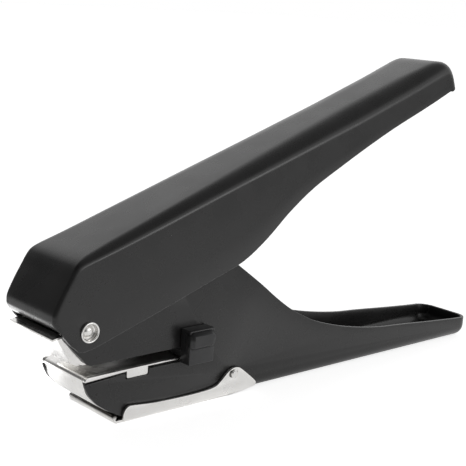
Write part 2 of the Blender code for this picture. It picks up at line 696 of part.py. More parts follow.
def punch_pin(axis):
    """Hardened pin with a ring groove below its domed top and a notched cutting tip."""
    groove_low = RING_TOP - RING_THICK - RUN_GAP
    groove_high = RING_TOP + RUN_GAP
    groove = PUNCH_RADIUS - RING_GROOVE_DEPTH
    shoulder = PUNCH_TOP - PUNCH_RADIUS / 4
    profile = [(0, PUNCH_TOP), (PUNCH_RADIUS * 3 / 4, shoulder + PUNCH_RADIUS / 8),
               (PUNCH_RADIUS, shoulder), (PUNCH_RADIUS, groove_high), (groove, groove_high),
               (groove, groove_low), (PUNCH_RADIUS, groove_low), (PUNCH_RADIUS, PUNCH_TIP),
               (0, PUNCH_TIP)]
    piece = turned("punch_pin", profile, False, plain_steel, axis, (0, 0, 0))
    notch = slab_mesh("punch_notch", [(0, PUNCH_TIP + PUNCH_NOTCH_DEPTH),
                                      (-PUNCH_RADIUS - CUT_OVERRUN, PUNCH_TIP - CUT_OVERRUN),
                                      (PUNCH_RADIUS + CUT_OVERRUN, PUNCH_TIP - CUT_OVERRUN)],
                      PUNCH_RADIUS * 2 + CUT_OVERRUN)
    boolean(piece, cutter("punch_notch", notch, axis))


def washer(name, top, axis, location):
    """Flat washer with its upper face at top."""
    bore = PUNCH_RADIUS + RUN_GAP
    profile = [(WASHER_RADIUS, top), (WASHER_RADIUS, top - WASHER_THICK),
               (bore, top - WASHER_THICK), (bore, top)]
    turned(name, profile, True, plain_steel, axis, location, steps=SMALL_ROUND_STEPS)


def retaining_ring(axis):
    """Open ring sprung into the pin's groove, holding the washer against the spring."""
    inner = PUNCH_RADIUS - RING_GROOVE_DEPTH + RUN_GAP
    outer = inner + RING_WIDTH
    profile = [(outer, RING_TOP), (outer, RING_TOP - RING_THICK), (inner, RING_TOP - RING_THICK),
               (inner, RING_TOP)]
    piece = turned("retaining_ring", profile, True, plain_steel, axis, (0, 0, 0))
    mouth = box_mesh((0, -RING_MOUTH / 2, RING_TOP - RING_THICK - CUT_OVERRUN),
                     (outer + CUT_OVERRUN, RING_MOUTH / 2, RING_TOP + CUT_OVERRUN))
    boolean(piece, cutter("ring_mouth", mouth, axis))


def return_spring(axis):
    """Compression spring between the two washers: one unbroken helix of round wire."""
    low = SEAT_WASHER_TOP + RUN_GAP + SPRING_WIRE / 2
    high = PIN_WASHER_TOP - WASHER_THICK - RUN_GAP - SPRING_WIRE / 2
    curve = bpy.data.curves.new("return_spring", "CURVE")
    curve.dimensions = "3D"
    curve.bevel_depth = SPRING_WIRE / 2
    curve.bevel_resolution = 1
    curve.use_fill_caps = True
    count = SPRING_TURNS * SPRING_POINTS_A_TURN
    path = curve.splines.new("POLY")
    path.points.add(count)
    points = []
    for step, point in enumerate(path.points):
        angle = 2 * pi * step / SPRING_POINTS_A_TURN
        height = low + (high - low) * step / count
        spot = Vector((SPRING_RADIUS * cos(angle), SPRING_RADIUS * sin(angle), height))
        point.co = (*spot, 1)
        points.append(spot)
    least = min((a - b).length for i, a in enumerate(points)
                for b in points[i + SPRING_POINTS_A_TURN // 2:]) - SPRING_WIRE
    print(f"return_spring: least gap between turns {least * 1000:.2f} mm")
    piece = bpy.data.objects.new("return_spring", curve)
    curve.materials.append(plain_steel("return_spring"))
    piece.parent = axis
    piece.location = (PUNCH_ALONG, 0, 0)
    collection(PARTS).objects.link(piece)


def die_plate(axis):
    """Bright die plate on the lower jaw, its front lip folded down inside the jaw's nose."""
    nose = jaw_front()[2:DIE_LIP_POINTS]
    inset = DIE_SETBACK + DIE_SHEET / 2
    middle = DIE_UNDERSIDE + DIE_SHEET / 2
    fold = arc((inset + DIE_BEND, middle - DIE_BEND), DIE_BEND, 90, 180)
    line = [(SLOT_REACH - RUN_GAP, middle), *fold]
    line += [(along + inset, up - inset / 4) for along, up in nose]
    lip = slab_mesh("die_plate", strip(line, DIE_SHEET), FRAME_INNER - 2 * RUN_GAP)
    piece = place("die_plate", lip, bright_steel, axis)
    half = DIE_TAB_LENGTH / 2
    rear = SLOT_REACH - RUN_GAP
    sheet_line = [(0, DIE_TOP), (0, DIE_UNDERSIDE - SLOT_FALL), (DIE_TAB_ALONG - half, DIE_UNDERSIDE),
                  (rear, DIE_UNDERSIDE), (rear, DIE_TOP)]
    boolean(piece, cutter("die_top", slab_mesh("die_top", sheet_line, FRAME_WIDTH), axis), "UNION")
    for side, name in ((-1, "near"), (1, "far")):
        outer = side * FRAME_WIDTH / 2
        inner = outer - side * FRAME_SHEET
        tab = box_mesh((DIE_TAB_ALONG - half, min(outer, inner), DIE_TOP - DIE_TAB_DROP),
                       (DIE_TAB_ALONG + half, max(outer, inner), DIE_TOP - DIE_SHEET / 2))
        boolean(piece, cutter(f"die_tab_{name}", tab, axis), "UNION")
    hole = upright_rod_mesh(BUSH_BORE + DIE_BUSH_WALL + RUN_GAP, DIE_UNDERSIDE - CUT_OVERRUN,
                            DIE_TOP + CUT_OVERRUN, PUNCH_ALONG)
    boolean(piece, cutter("die_bush_cut", hole, axis))
    even_shading(piece)


def die_bush(axis):
    """Hardened ring that the punch pin shears into, its spigot flush with the die plate's top."""
    seat = DIE_UNDERSIDE - RUN_GAP
    outer = BUSH_BORE + DIE_BUSH_WALL
    low = seat - DIE_BUSH_FLANGE_THICK
    profile = [(BUSH_BORE, DIE_TOP), (outer, DIE_TOP), (outer, seat),
               (DIE_BUSH_FLANGE_RADIUS, seat), (DIE_BUSH_FLANGE_RADIUS, low), (BUSH_BORE, low)]
    turned("die_bush", profile, True, plain_steel, axis, (PUNCH_ALONG, 0, 0))


def tray_outline():
    """The chip tray's side flange with its hinge ear, about the pivot."""
    flange_shares = ((0, 0.12), (0, 0.25), (0.007, 0.38), (0.02, 0.475), (0.039, 0.532),
                     (0.069, 0.532), (0.205, 0.453), (0.375, 0.415), (0.55, 0.41), (0.662, 0.463),
                     (0.713, 0.62), (0.763, 0.863), (0.797, 0.968), (0.826, 1.0), (0.855, 0.965),
                     (0.89, 0.832), (0.955, 0.537), (0.991, 0.358), (1.0, 0.274),
                     (0.9925, 0.19), (0.97, 0.155))
    length = TRAY_REAR - TRAY_FRONT
    outline = [(TRAY_FRONT + along, TRAY_UNDERSIDE + up) for along, up in
               scaled(flange_shares, length, TRAY_EAR_HEIGHT)]
    outline += [(TRAY_FLOOR_END, TRAY_UNDERSIDE), (TRAY_FRONT + TRAY_EDGE_RADIUS, TRAY_UNDERSIDE)]
    return outline[::-1]


def chip_tray(axis):
    """Bright tray under the lower jaw: floor, side flanges with hinge ears, and a front lip."""
    mesh = slab_mesh("chip_tray", tray_outline(), TRAY_WIDTH)
    open_slab(mesh, lambda along, up, normal: not (
        normal.z < -cos(pi / 8) and along < TRAY_FLOOR_END))
    piece = place("chip_tray", mesh, bright_steel, axis)
    bevel(piece, TRAY_EDGE_RADIUS, 3)
    thicken(piece, TRAY_SHEET)
    middle = TRAY_UNDERSIDE + TRAY_SHEET / 2
    lip_top = TRAY_UNDERSIDE + TRAY_LIP_HEIGHT - TRAY_LIP_ROLL
    front = TRAY_LIP_ALONG + TRAY_SHEET / 2
    line = [(TRAY_FRONT + TRAY_EDGE_RADIUS * 3, middle), (front + TRAY_SHEET, middle),
            (front, middle + TRAY_SHEET), (front, lip_top)]
    lip = slab_mesh("tray_lip", strip(line, TRAY_LIP_SHEET), FRAME_WIDTH)
    boolean(piece, cutter("tray_lip", lip, axis), "UNION")
    bead = rod_mesh(TRAY_LIP_ROLL, FRAME_WIDTH, (front, lip_top), SMALL_ROUND_STEPS)
    boolean(piece, cutter("tray_bead", bead, axis), "UNION")
    drill(piece, "tray_peg_cut", PEG_RADIUS + RUN_GAP, TRAY_WIDTH + CUT_OVERRUN,
          (TRAY_HINGE_ALONG, -TRAY_HINGE_DROP), axis)
    even_shading(piece)
    for part in (piece, *collection(CUTTERS).objects):
        if part.name in ("chip_tray", "tray_lip", "tray_bead", "tray_peg_cut"):
            part.data.transform(Matrix.Translation(-TRAY_HINGE))


def tray_hinge_peg(name, tip, axis):
    """Short headed peg riveted in one of the frame's plates, for one of the tray's ears."""
    inner = FRAME_INNER / 2 - RUN_GAP
    seat = TRAY_WIDTH / 2 + RUN_GAP
    end = seat + PEG_HEAD_HEIGHT
    profile = [(0, end), (PEG_HEAD_RADIUS * 3 / 4, end), (PEG_HEAD_RADIUS, seat + PEG_HEAD_HEIGHT / 2),
               (PEG_HEAD_RADIUS, seat), (PEG_RADIUS, seat), (PEG_RADIUS, inner),
               (PEG_HEAD_RADIUS, inner), (PEG_HEAD_RADIUS, inner - PEG_HEAD_HEIGHT),
               (0, inner - PEG_HEAD_HEIGHT)]
    turned(name, profile, False, plain_steel, axis, TRAY_HINGE, tip, SMALL_ROUND_STEPS)


def paper_guide(axis):
    """Black slider in the throat slot: a knob outside the near plate, a bar across, a far clip."""
    low = SLOT_FLOOR
    top = -JAW_HEIGHT + GUIDE_RISE
    near = -FRAME_WIDTH / 2 - RUN_GAP
    rear = GUIDE_ALONG + GUIDE_LENGTH
    base = box_mesh((GUIDE_ALONG, near - GUIDE_BASE_DEPTH, low), (rear, near, top))
    piece = place("paper_guide", base, black_plastic, axis)
    bevel(piece, GUIDE_EDGE, 2)
    knob_low = top - GUIDE_KNOB_HEIGHT
    knob_top = top - GUIDE_EDGE
    outline = [(GUIDE_ALONG - GUIDE_EDGE, knob_low)]
    outline += arc((rear - GUIDE_CORNER, knob_low + GUIDE_CORNER), GUIDE_CORNER, 270, 360)
    outline += arc((rear - GUIDE_CORNER, knob_top - GUIDE_CORNER), GUIDE_CORNER, 0, 90)
    outline += [(GUIDE_ALONG - GUIDE_EDGE, knob_top)]
    inside = near - GUIDE_BASE_DEPTH / 2
    outside = near - GUIDE_KNOB_DEPTH
    knob = cutter("guide_knob", slab_mesh("guide_knob", outline, inside - outside,
                                          (inside + outside) / 2), axis)
    bevel(knob, GUIDE_CHAMFER, 3)
    boolean(piece, knob, "UNION")
    far = FRAME_WIDTH / 2 + RUN_GAP
    bar_low = DIE_TOP + RUN_GAP
    bar_high = BRACKET_UNDERSIDE - RUN_GAP
    bar = box_mesh((GUIDE_ALONG + RUN_GAP, near - GUIDE_BASE_DEPTH / 2, bar_low),
                   (rear - RUN_GAP, far + GUIDE_FAR_DEPTH / 2, bar_high))
    boolean(piece, cutter("guide_bar", bar, axis), "UNION")
    clip = box_mesh((GUIDE_ALONG, far, low), (rear, far + GUIDE_FAR_DEPTH, top - GUIDE_KNOB_HEIGHT))
    boolean(piece, cutter("guide_clip", clip, axis), "UNION")
    even_shading(piece)


def build():
    clear_scene()
    frame_axis = empty("frame_axis", PIVOT_PLACE)
    handle_axis = empty("handle_axis", PIVOT_PLACE, -radians(HANDLE_OPEN_DEG))
    punch_axis = empty("punch_axis", PIVOT_PLACE + Vector((PUNCH_ALONG, 0, 0)))
    tray_axis = empty("tray_axis", PIVOT_PLACE + TRAY_HINGE)
    guide_axis = empty("guide_axis", PIVOT_PLACE)
    lower_frame(frame_axis)
    upper_handle(handle_axis)
    press_bracket(handle_axis)
    press_pin(handle_axis)
    pivot_rivet(frame_axis)
    pivot_sleeve(frame_axis)
    guide_bracket(frame_axis)
    bracket_pin(frame_axis)
    guide_bush(frame_axis)
    washer("spring_seat_washer", SEAT_WASHER_TOP, frame_axis, (PUNCH_ALONG, 0, 0))
    return_spring(frame_axis)
    punch_pin(punch_axis)
    retaining_ring(punch_axis)
    washer("pin_washer", PIN_WASHER_TOP, punch_axis, (0, 0, 0))
    die_plate(frame_axis)
    die_bush(frame_axis)
    chip_tray(tray_axis)
    tray_hinge_peg("tray_hinge_peg_near", pi / 2, frame_axis)
    tray_hinge_peg("tray_hinge_peg_far", -pi / 2, frame_axis)
    paper_guide(guide_axis)


build()
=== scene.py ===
"""Looks of the single hole punch: fine sheet-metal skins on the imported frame, finishes, light, camera.

Everything is in metres. Outlines are (along, up) about the pivot rivet, as the punch stands; the
handle's are in its own axes, along its top line. Shares are of the sizes named beside them.
"""

import json
from math import atan2, ceil, cos, degrees, hypot, pi, radians, sin

import bmesh
import bpy
from mathutils import Matrix, Vector

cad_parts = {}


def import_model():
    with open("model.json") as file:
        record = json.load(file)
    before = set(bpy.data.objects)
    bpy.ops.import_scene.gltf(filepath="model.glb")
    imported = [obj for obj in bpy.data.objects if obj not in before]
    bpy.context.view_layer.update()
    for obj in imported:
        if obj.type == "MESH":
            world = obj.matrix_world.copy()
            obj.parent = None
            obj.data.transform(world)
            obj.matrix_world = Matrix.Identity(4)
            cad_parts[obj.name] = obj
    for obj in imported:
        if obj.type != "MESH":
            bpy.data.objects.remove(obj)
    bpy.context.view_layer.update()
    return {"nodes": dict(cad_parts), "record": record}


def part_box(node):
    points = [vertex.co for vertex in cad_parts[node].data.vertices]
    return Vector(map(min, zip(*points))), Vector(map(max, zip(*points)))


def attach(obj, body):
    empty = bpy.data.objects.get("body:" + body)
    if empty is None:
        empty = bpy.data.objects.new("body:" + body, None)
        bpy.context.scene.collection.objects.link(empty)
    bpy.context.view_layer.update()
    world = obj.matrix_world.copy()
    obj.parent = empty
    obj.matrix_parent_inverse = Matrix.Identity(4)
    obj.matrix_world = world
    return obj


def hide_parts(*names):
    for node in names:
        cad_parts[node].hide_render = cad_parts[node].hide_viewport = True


# Upper handle
HANDLE_REACH = 0.174
HANDLE_TOP = 0.0206
HANDLE_SKIRT = 0.0066
HANDLE_NOSE = 0.0097
HANDLE_WIDTH = 0.027
HANDLE_SHEET = 0.0015
HANDLE_OPEN_DEG = 20
SHOULDER_WIDTH = 0.009
SHOULDER_DEPTH = 0.0052
NOSE_TURN_DEG = 100

# Pivot rivet
RIVET_RADIUS = 0.0024
RIVET_HEAD_RADIUS = 0.0031
RIVET_HEAD_HEIGHT = 0.0006
RIVET_DISH_RADIUS = 0.0025
RIVET_DISH_DEPTH = 0.0018

# Lower handle and the jaws' side plates
RUN_GAP = 0.0003
FRAME_REACH = 0.1835
PIVOT_HEIGHT = 0.031
FRAME_SHEET = 0.0012
FRAME_EDGE_RADIUS = 0.0044
FRAME_CORNER_RADIUS = 0.0057
PIVOT_LOBE_RADIUS = 0.0075
PIVOT_LOBE_END_DEG = 196
FRAME_COVERED_TOP = 0.0166
JAW_REACH = 0.0112
JAW_HEIGHT = 0.011
JAW_CORNER_RADIUS = 0.0035
SLOT_HEIGHT = 0.0046
SLOT_REACH = 0.045
SLOT_FALL = 0.0008
LOWER_JAW_DEPTH = 0.0137
LOWER_JAW_SLOPE = 0.0145
WEB_START = 0.064
WEB_RELIEF_HEIGHT = 0.0054

# Guide bracket with its flange under the nose, and the pin behind it
BRACKET_SHEET = 0.0012
BRACKET_REACH = 0.037
BRACKET_TOP = 0.0115
BRACKET_BEND = 0.0016
BRACKET_DROP = 0.0008
BRACKET_LEAD = 0.0022
NOSE_FLANGE_THICK = 0.0006
NOSE_FLANGE_DEPTH = 0.0034
NOSE_FLANGE_FALL = 0.0006
BRACKET_PIN_RADIUS = 0.0015
BRACKET_PIN_ALONG = 0.033
BRACKET_PIN_UP = 0.0085

# Punch pin's place and size, and the wall of its bushes
PUNCH_ALONG = 0.0225
PUNCH_RADIUS = 0.003
BUSH_WALL = 0.001

# Die plate
DIE_SHEET = 0.0012
DIE_BEND = 0.00065
DIE_SETBACK = 0.0002
DIE_DROOP = 0.0004
DIE_TAB_CORNER = 0.0006
DIE_EDGE_GAP = 0.0003
DIE_TAB_LENGTH = 0.0078
DIE_TAB_DROP = 0.0031
DIE_TAB_ALONG = 0.0189
DIE_LIP_POINTS = 9

# Chip tray
TRAY_SHEET = 0.0008
TRAY_EDGE_RADIUS = 0.0012
TRAY_GROUND_GAP = 0.0002
TRAY_FRONT = 0.0135
TRAY_EAR_HEIGHT = 0.0095
TRAY_FLOOR_END = 0.0545
TRAY_REAR = 0.0671
TRAY_LIP_ALONG = 0.0107
TRAY_LIP_HEIGHT = 0.0026
TRAY_LIP_ROLL = 0.0007
TRAY_HINGE_ALONG = 0.057
TRAY_HINGE_DROP = 0.0232
TRAY_SWING_RADIUS = 0.0061
TRAY_SWING_END_DEG = 336
PEG_RADIUS = 0.0009

# Paper guide
GUIDE_ALONG = 0.0348
GUIDE_LENGTH = 0.0098
GUIDE_BASE_DEPTH = 0.0046
GUIDE_KNOB_DEPTH = 0.0062
GUIDE_RISE = 0.0063
GUIDE_KNOB_HEIGHT = 0.0059
GUIDE_FAR_DEPTH = 0.002
GUIDE_CORNER = 0.0024
GUIDE_CHAMFER = 0.0011
GUIDE_EDGE = 0.0003

# How finely the skins are cut and shaded, and how far their sheared edges are broken
ARC_STEP_DEG = 6
SHARP_DEG = 38
WALL_STEPS = 3
SHOULDER_STEPS = 14
ACROSS_STEPS = 2
RIB_STEPS = 4
TURN_STEPS = 72
EDGE_BREAK = 0.00022
EDGE_WELD = EDGE_BREAK / 6
CUT_OVERRUN = 0.002
WELD = 0.00001

# Derived places, about the pivot
FRAME_WIDTH = HANDLE_WIDTH - 2 * HANDLE_SHEET - 2 * RUN_GAP
FRAME_INNER = FRAME_WIDTH - 2 * FRAME_SHEET
BRACKET_WIDTH = FRAME_INNER - 2 * RUN_GAP
TRAY_WIDTH = FRAME_WIDTH + 2 * RUN_GAP + 2 * TRAY_SHEET
SLOT_FLOOR = -(JAW_HEIGHT + SLOT_HEIGHT)
DIE_UNDERSIDE = SLOT_FLOOR + RUN_GAP
DIE_TOP = DIE_UNDERSIDE + DIE_SHEET
BRACKET_UNDERSIDE = -(JAW_HEIGHT + BRACKET_DROP)
BUSH_BORE = PUNCH_RADIUS + RUN_GAP
NOSE_FLANGE_TOP = -RUN_GAP
GROUND = -PIVOT_HEIGHT
TRAY_UNDERSIDE = GROUND + TRAY_GROUND_GAP
PIVOT = Matrix.Translation((-(FRAME_REACH - JAW_REACH) / 2, 0, PIVOT_HEIGHT))
HANDLE_AXES = PIVOT @ Matrix.Rotation(-radians(HANDLE_OPEN_DEG), 4, "Y")

# Camera, fitted to the photograph's straight edges
CAMERA_PLACE = Vector((-0.257566, -0.261141, 0.126319))
CAMERA_RIGHT = Vector((0.7488804, -0.6601634, 0.0579863))
CAMERA_FORWARD = Vector((0.6556656, 0.725364, -0.209642))
CAMERA_LENS_MM = 84.98
CAMERA_SENSOR_MM = 36
CAMERA_NEAR = 0.01

# Floor, and the distances between which its glow in the bright metal fades
FLOOR_REACH = 6
FLOOR_FADE_START = 0.12
FLOOR_FADE_END = 0.6

# Lamps: a card to the right, and a spot on the floor that the nose's lower band mirrors
SIDE_CARD_PLACE = (0.52, -1.03, 0.31)
SIDE_CARD_TARGET = (0, 0, 0.05)
SIDE_CARD_SIZE = (0.55, 0.35)
SIDE_CARD_POWER = 1.5
FLOOR_SPOT_PLACE = (-0.08, 0.5, 0.5)
FLOOR_SPOT_TARGET = (-0.08, 0.078, 0)
FLOOR_SPOT_CONE_DEG = 8.5
FLOOR_SPOT_POWER = 75

# Depths of the bumps in the finishes
ORANGE_PEEL_DEPTH = 0.00004
TOOL_LINE_DEPTH = 0.00003
GRAIN_DEPTH = 0.00005


def spline(knots, per_span):
    """A smooth curve through the knots (Catmull-Rom), per_span points to each span."""
    padded = [knots[0], *knots, knots[-1]]
    points = []
    for index in range(len(knots) - 1):
        before, start, end, after = padded[index:index + 4]
        for step in range(per_span):
            t = step / per_span
            points.append(tuple(
                (2 * s + (e - b) * t + (2 * b - 5 * s + 4 * e - a) * t ** 2
                 + (3 * s - b - 3 * e + a) * t ** 3) / 2
                for b, s, e, a in zip(before, start, end, after)))
    points.append(tuple(knots[-1]))
    return points


def scaled(shares, along, up):
    """Share pairs turned into points by the two sizes they follow."""
    return [(a * along, b * up) for a, b in shares]


def arc(centre, radius, start_deg, end_deg):
    """Points of an arc, both ends included, one about every ARC_STEP_DEG."""
    count = max(2, ceil(abs(end_deg - start_deg) / ARC_STEP_DEG))
    points = []
    for step in range(count + 1):
        angle = radians(start_deg + (end_deg - start_deg) * step / count)
        points.append((centre[0] + radius * cos(angle), centre[1] + radius * sin(angle)))
    return points


def height_at(line, along):
    """The line's second value where its first is along, read straight between its points."""
    for (a0, b0), (a1, b1) in zip(line, line[1:]):
        if a0 <= along <= a1:
            return b0 + (b1 - b0) * (along - a0) / (a1 - a0)
    return line[-1][1] if along > line[-1][0] else line[0][1]


def heading(start, end):
    """The unit direction from one point to the next."""
    length = hypot(end[0] - start[0], end[1] - start[1])
    return ((end[0] - start[0]) / length, (end[1] - start[1]) / length)


def strip(centre_line, sheet):
    """The closed outline of a folded strip: its centre line offset half a sheet to each side."""
    sides = ([], [])
    ways = [heading(a, b) for a, b in zip(centre_line, centre_line[1:])]
    for index, point in enumerate(centre_line):
        into = ways[max(index - 1, 0)]
        away = ways[min(index, len(ways) - 1)]
        mitre = (-(into[1] + away[1]), into[0] + away[0])
        scale = sheet / (mitre[0] ** 2 + mitre[1] ** 2)
        for side, sign in zip(sides, (1, -1)):
            side.append((point[0] + sign * scale * mitre[0], point[1] + sign * scale * mitre[1]))
    return sides[0] + sides[1][::-1]


def slab(outline, width, middle=0):
    """The outline extruded to width along Y about the middle."""
    mesh = bpy.data.meshes.new("slab")
    shape = bmesh.new()
    near = [shape.verts.new((along, middle - width / 2, up)) for along, up in outline]
    face = shape.faces.new(near)
    swept = bmesh.ops.extrude_face_region(shape, geom=[face])["geom"]
    moved = [item for item in swept if isinstance(item, bmesh.types.BMVert)]
    bmesh.ops.translate(shape, verts=moved, vec=(0, width, 0))
    bmesh.ops.recalc_face_normals(shape, faces=shape.faces)
    shape.to_mesh(mesh)
    shape.free()
    return mesh


def box(low, high):
    """A box as a slab, to be joined to another shape or cut from it."""
    outline = [(low[0], low[2]), (high[0], low[2]), (high[0], high[2]), (low[0], high[2])]
    return slab(outline, high[1] - low[1], (low[1] + high[1]) / 2)


def cross_rod(radius, length, centre=(0, 0)):
    """A round rod along Y, for cross holes and beads."""
    return slab(arc(centre, radius, 0, 360)[:-1], length)


def upright_rod(radius, low, high, along):
    """A round rod along Z between two heights, for the bush holes."""
    rod = slab(arc((0, 0), radius, 0, 360)[:-1], high - low)
    rod.transform(Matrix.Translation((along, 0, (low + high) / 2)) @ Matrix.Rotation(pi / 2, 4, "X"))
    return rod


def rivet_hole(across):
    return cross_rod(RIVET_RADIUS + RUN_GAP, across)


def bracket_pin_hole(across):
    place = (BRACKET_PIN_ALONG, BRACKET_PIN_UP)
    return cross_rod(BRACKET_PIN_RADIUS + RUN_GAP, across, place)


def tray_peg_hole(across):
    return cross_rod(PEG_RADIUS + RUN_GAP, across, (TRAY_HINGE_ALONG, -TRAY_HINGE_DROP))


def bush_hole(low, high):
    """The hole that a bush sits in, cut past the two heights, at the punch pin's place."""
    radius = BUSH_BORE + BUSH_WALL + RUN_GAP
    return upright_rod(radius, low - CUT_OVERRUN, high + CUT_OVERRUN, PUNCH_ALONG)


def open_slab(mesh, is_open):
    """Delete the narrow faces that the test names, so that the rest thickens into a channel."""
    shape = bmesh.new()
    shape.from_mesh(mesh)
    gone = []
    for face in shape.faces:
        middle = face.calc_center_median()
        if abs(face.normal.y) < cos(pi / 4) and is_open(middle.x, middle.z, face.normal):
            gone.append(face)
    bmesh.ops.delete(shape, geom=gone, context="FACES")
    shape.to_mesh(mesh)
    shape.free()


def settle(mesh, *steps):
    """The mesh with modifiers applied; each step is (type, settings)."""
    holder = bpy.data.objects.new("holder", mesh)
    bpy.context.scene.collection.objects.link(holder)
    for kind, settings in steps:
        step = holder.modifiers.new(kind, kind)
        for key, value in settings.items():
            setattr(step, key, value)
    bpy.context.view_layer.update()
    graph = bpy.context.evaluated_depsgraph_get()
    result = bpy.data.meshes.new_from_object(holder.evaluated_get(graph))
    bpy.data.objects.remove(holder)
    return result


def combined(mesh, operation, *tools):
    """Boolean the mesh with each tool mesh in turn."""
    for tool in tools:
        helper = bpy.data.objects.new("tool", tool)
        bpy.context.scene.collection.objects.link(helper)
        mesh = settle(mesh, ("BOOLEAN", {"operation": operation, "solver": "EXACT",
                                         "object": helper}))
        bpy.data.objects.remove(helper)
    return mesh


def rounding(width, segments, limit="ANGLE", angle_deg=60):
    """A bevel step for folds; its width isn't held back where faces are narrow."""
    return ("BEVEL", {"width": width, "segments": segments, "limit_method": limit,
                      "angle_limit": radians(angle_deg), "use_clamp_overlap": False})


def sheet(thickness, even=True):
    """Thicken inwards; an uneven offset can't throw a spike where faces fold sharply."""
    return ("SOLIDIFY", {"thickness": thickness, "offset": -1, "use_even_offset": even})


def broken_edges(width=EDGE_BREAK, angle_deg=50):
    """Steps that weld, break sheared edges by a small radius, and even the shading beside it."""
    weld = ("WELD", {"merge_threshold": EDGE_WELD})
    edges = ("BEVEL", {"width": width, "segments": 2, "limit_method": "ANGLE",
                       "angle_limit": radians(angle_deg), "use_clamp_overlap": True})
    return weld, edges, ("WEIGHTED_NORMAL", {"keep_sharp": True})


def finished(name, mesh, axes, body, slot, material, *nodes, within=()):
    """One piece in place, held inside the box of the CAD nodes that it stands for."""
    mesh.transform(axes)
    boxes = [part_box(node) for node in within or nodes]
    low = [min(corner[0][k] for corner in boxes) for k in range(3)]
    high = [max(corner[1][k] for corner in boxes) for k in range(3)]
    for vertex in mesh.vertices:
        vertex.co = [min(max(c, l), h) for c, l, h in zip(vertex.co, low, high)]
    piece = bpy.data.objects.new(name, mesh)
    bpy.context.scene.collection.objects.link(piece)
    mesh.materials.clear()
    mesh.materials.append(material)
    mesh.shade_smooth()
    mesh.set_sharp_from_angle(angle=radians(SHARP_DEG))
    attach(piece, body)
    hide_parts(*nodes)


def turned(profile, closed):
    """A turned mesh: the (radius, height) profile screwed once round Z."""
    mesh = bpy.data.meshes.new("turned")
    edges = [(i, i + 1) for i in range(len(profile) - 1)]
    if closed:
        edges.append((len(profile) - 1, 0))
    mesh.from_pydata([(r, 0, h) for r, h in profile], edges, [])
    return settle(mesh, ("SCREW", {"steps": TURN_STEPS, "render_steps": TURN_STEPS,
                                   "use_merge_vertices": True, "merge_threshold": WELD}))


# Upper handle


def coarse_ribs():
    """The handle's ribs before smoothing: top, inward normal, shoulder sizes, edge."""
    nose_shares = ((-0.902, 0.226), (-0.943, 0.257), (-0.974, 0.294), (-0.993, 0.335),
                   (-1.0, 0.379), (-0.969, 0.427), (-0.923, 0.478), (-0.835, 0.532),
                   (-0.691, 0.597), (-0.423, 0.709), (-0.119, 0.823), (0.119, 0.917),
                   (0.361, 0.978), (0.784, 1.0))
    top_shares = (0.09, 0.14, 0.2, 0.27, 0.34, 0.405, 0.47, 0.54, 0.62, 0.7, 0.78, 0.86, 0.91)
    rear_shares = ((0.945, 1.0), (0.967, 0.985), (0.982, 0.94), (0.991, 0.86), (0.996, 0.76),
                   (0.999, 0.62), (1.0, 0.44))
    nose_edge_shares = ((-0.845, 0.417), (-0.809, 0.288), (-0.773, 0.136), (-0.737, -0.015),
                        (-0.701, -0.136), (-0.649, -0.258), (-0.588, -0.409), (-0.526, -0.591),
                        (-0.411, -0.689), (-0.216, -0.773), (-0.02, -0.811), (0.196, -0.833),
                        (0.49, -0.848), (0.835, -0.856))
    edge_shares = ((0.09, -0.9), (0.15, -0.94), (0.25, -0.98), (0.325, -1.0), (0.352, -0.95),
                   (0.383, -0.76), (0.42, -0.45), (0.465, 0), (0.52, 0.43), (0.58, 0.67),
                   (0.68, 0.97), (0.79, 1.2), (0.88, 1.28), (0.94, 1.37), (0.966, 1.42))
    width_shares = ((0, 0.15), (0.02, 0.22), (0.058, 0.44), (0.17, 0.5), (0.35, 0.68),
                    (0.52, 0.88), (0.7, 1.0), (0.85, 0.95), (1.0, 0.6))
    depth_shares = ((0, 0.3), (0.02, 0.36), (0.058, 0.46), (0.17, 0.62), (0.35, 0.72),
                    (0.52, 0.86), (0.7, 1.0), (0.85, 1.0), (1.0, 0.9))
    turn_shares = (1.0, 0.75, 0.35, 0.12)
    tops = scaled(nose_shares, HANDLE_NOSE, HANDLE_TOP)
    tops += [(share * HANDLE_REACH, HANDLE_TOP) for share in top_shares]
    tops += scaled(rear_shares, HANDLE_REACH, HANDLE_TOP)
    edge_line = spline(scaled(edge_shares, HANDLE_REACH, HANDLE_SKIRT), RIB_STEPS)
    edges = scaled(nose_edge_shares, HANDLE_NOSE, HANDLE_SKIRT)
    foremost, rearmost = edge_line[0][0], edge_line[-1][0]
    behind_nose = tops[len(edges):]
    for index, top in enumerate(behind_nose):
        share = index / (len(behind_nose) - 1)
        along = min(max(top[0], foremost), rearmost - (1 - share) * SHOULDER_WIDTH)
        edges.append((along, height_at(edge_line, along)))
    ribs = []
    for index, (top, edge) in enumerate(zip(tops, edges)):
        ahead = heading(tops[max(index - 1, 0)], tops[min(index + 1, len(tops) - 1)])
        angle = atan2(-ahead[0], ahead[1])
        if index < len(turn_shares):
            angle -= turn_shares[index] * radians(NOSE_TURN_DEG)
        inward = (cos(angle), sin(angle))
        place_share = max(0, top[0] / HANDLE_REACH)
        wide = height_at(width_shares, place_share) * SHOULDER_WIDTH
        deep = height_at(depth_shares, place_share) * SHOULDER_DEPTH
        ribs.append((*top, *inward, wide, deep, *edge))
    return ribs


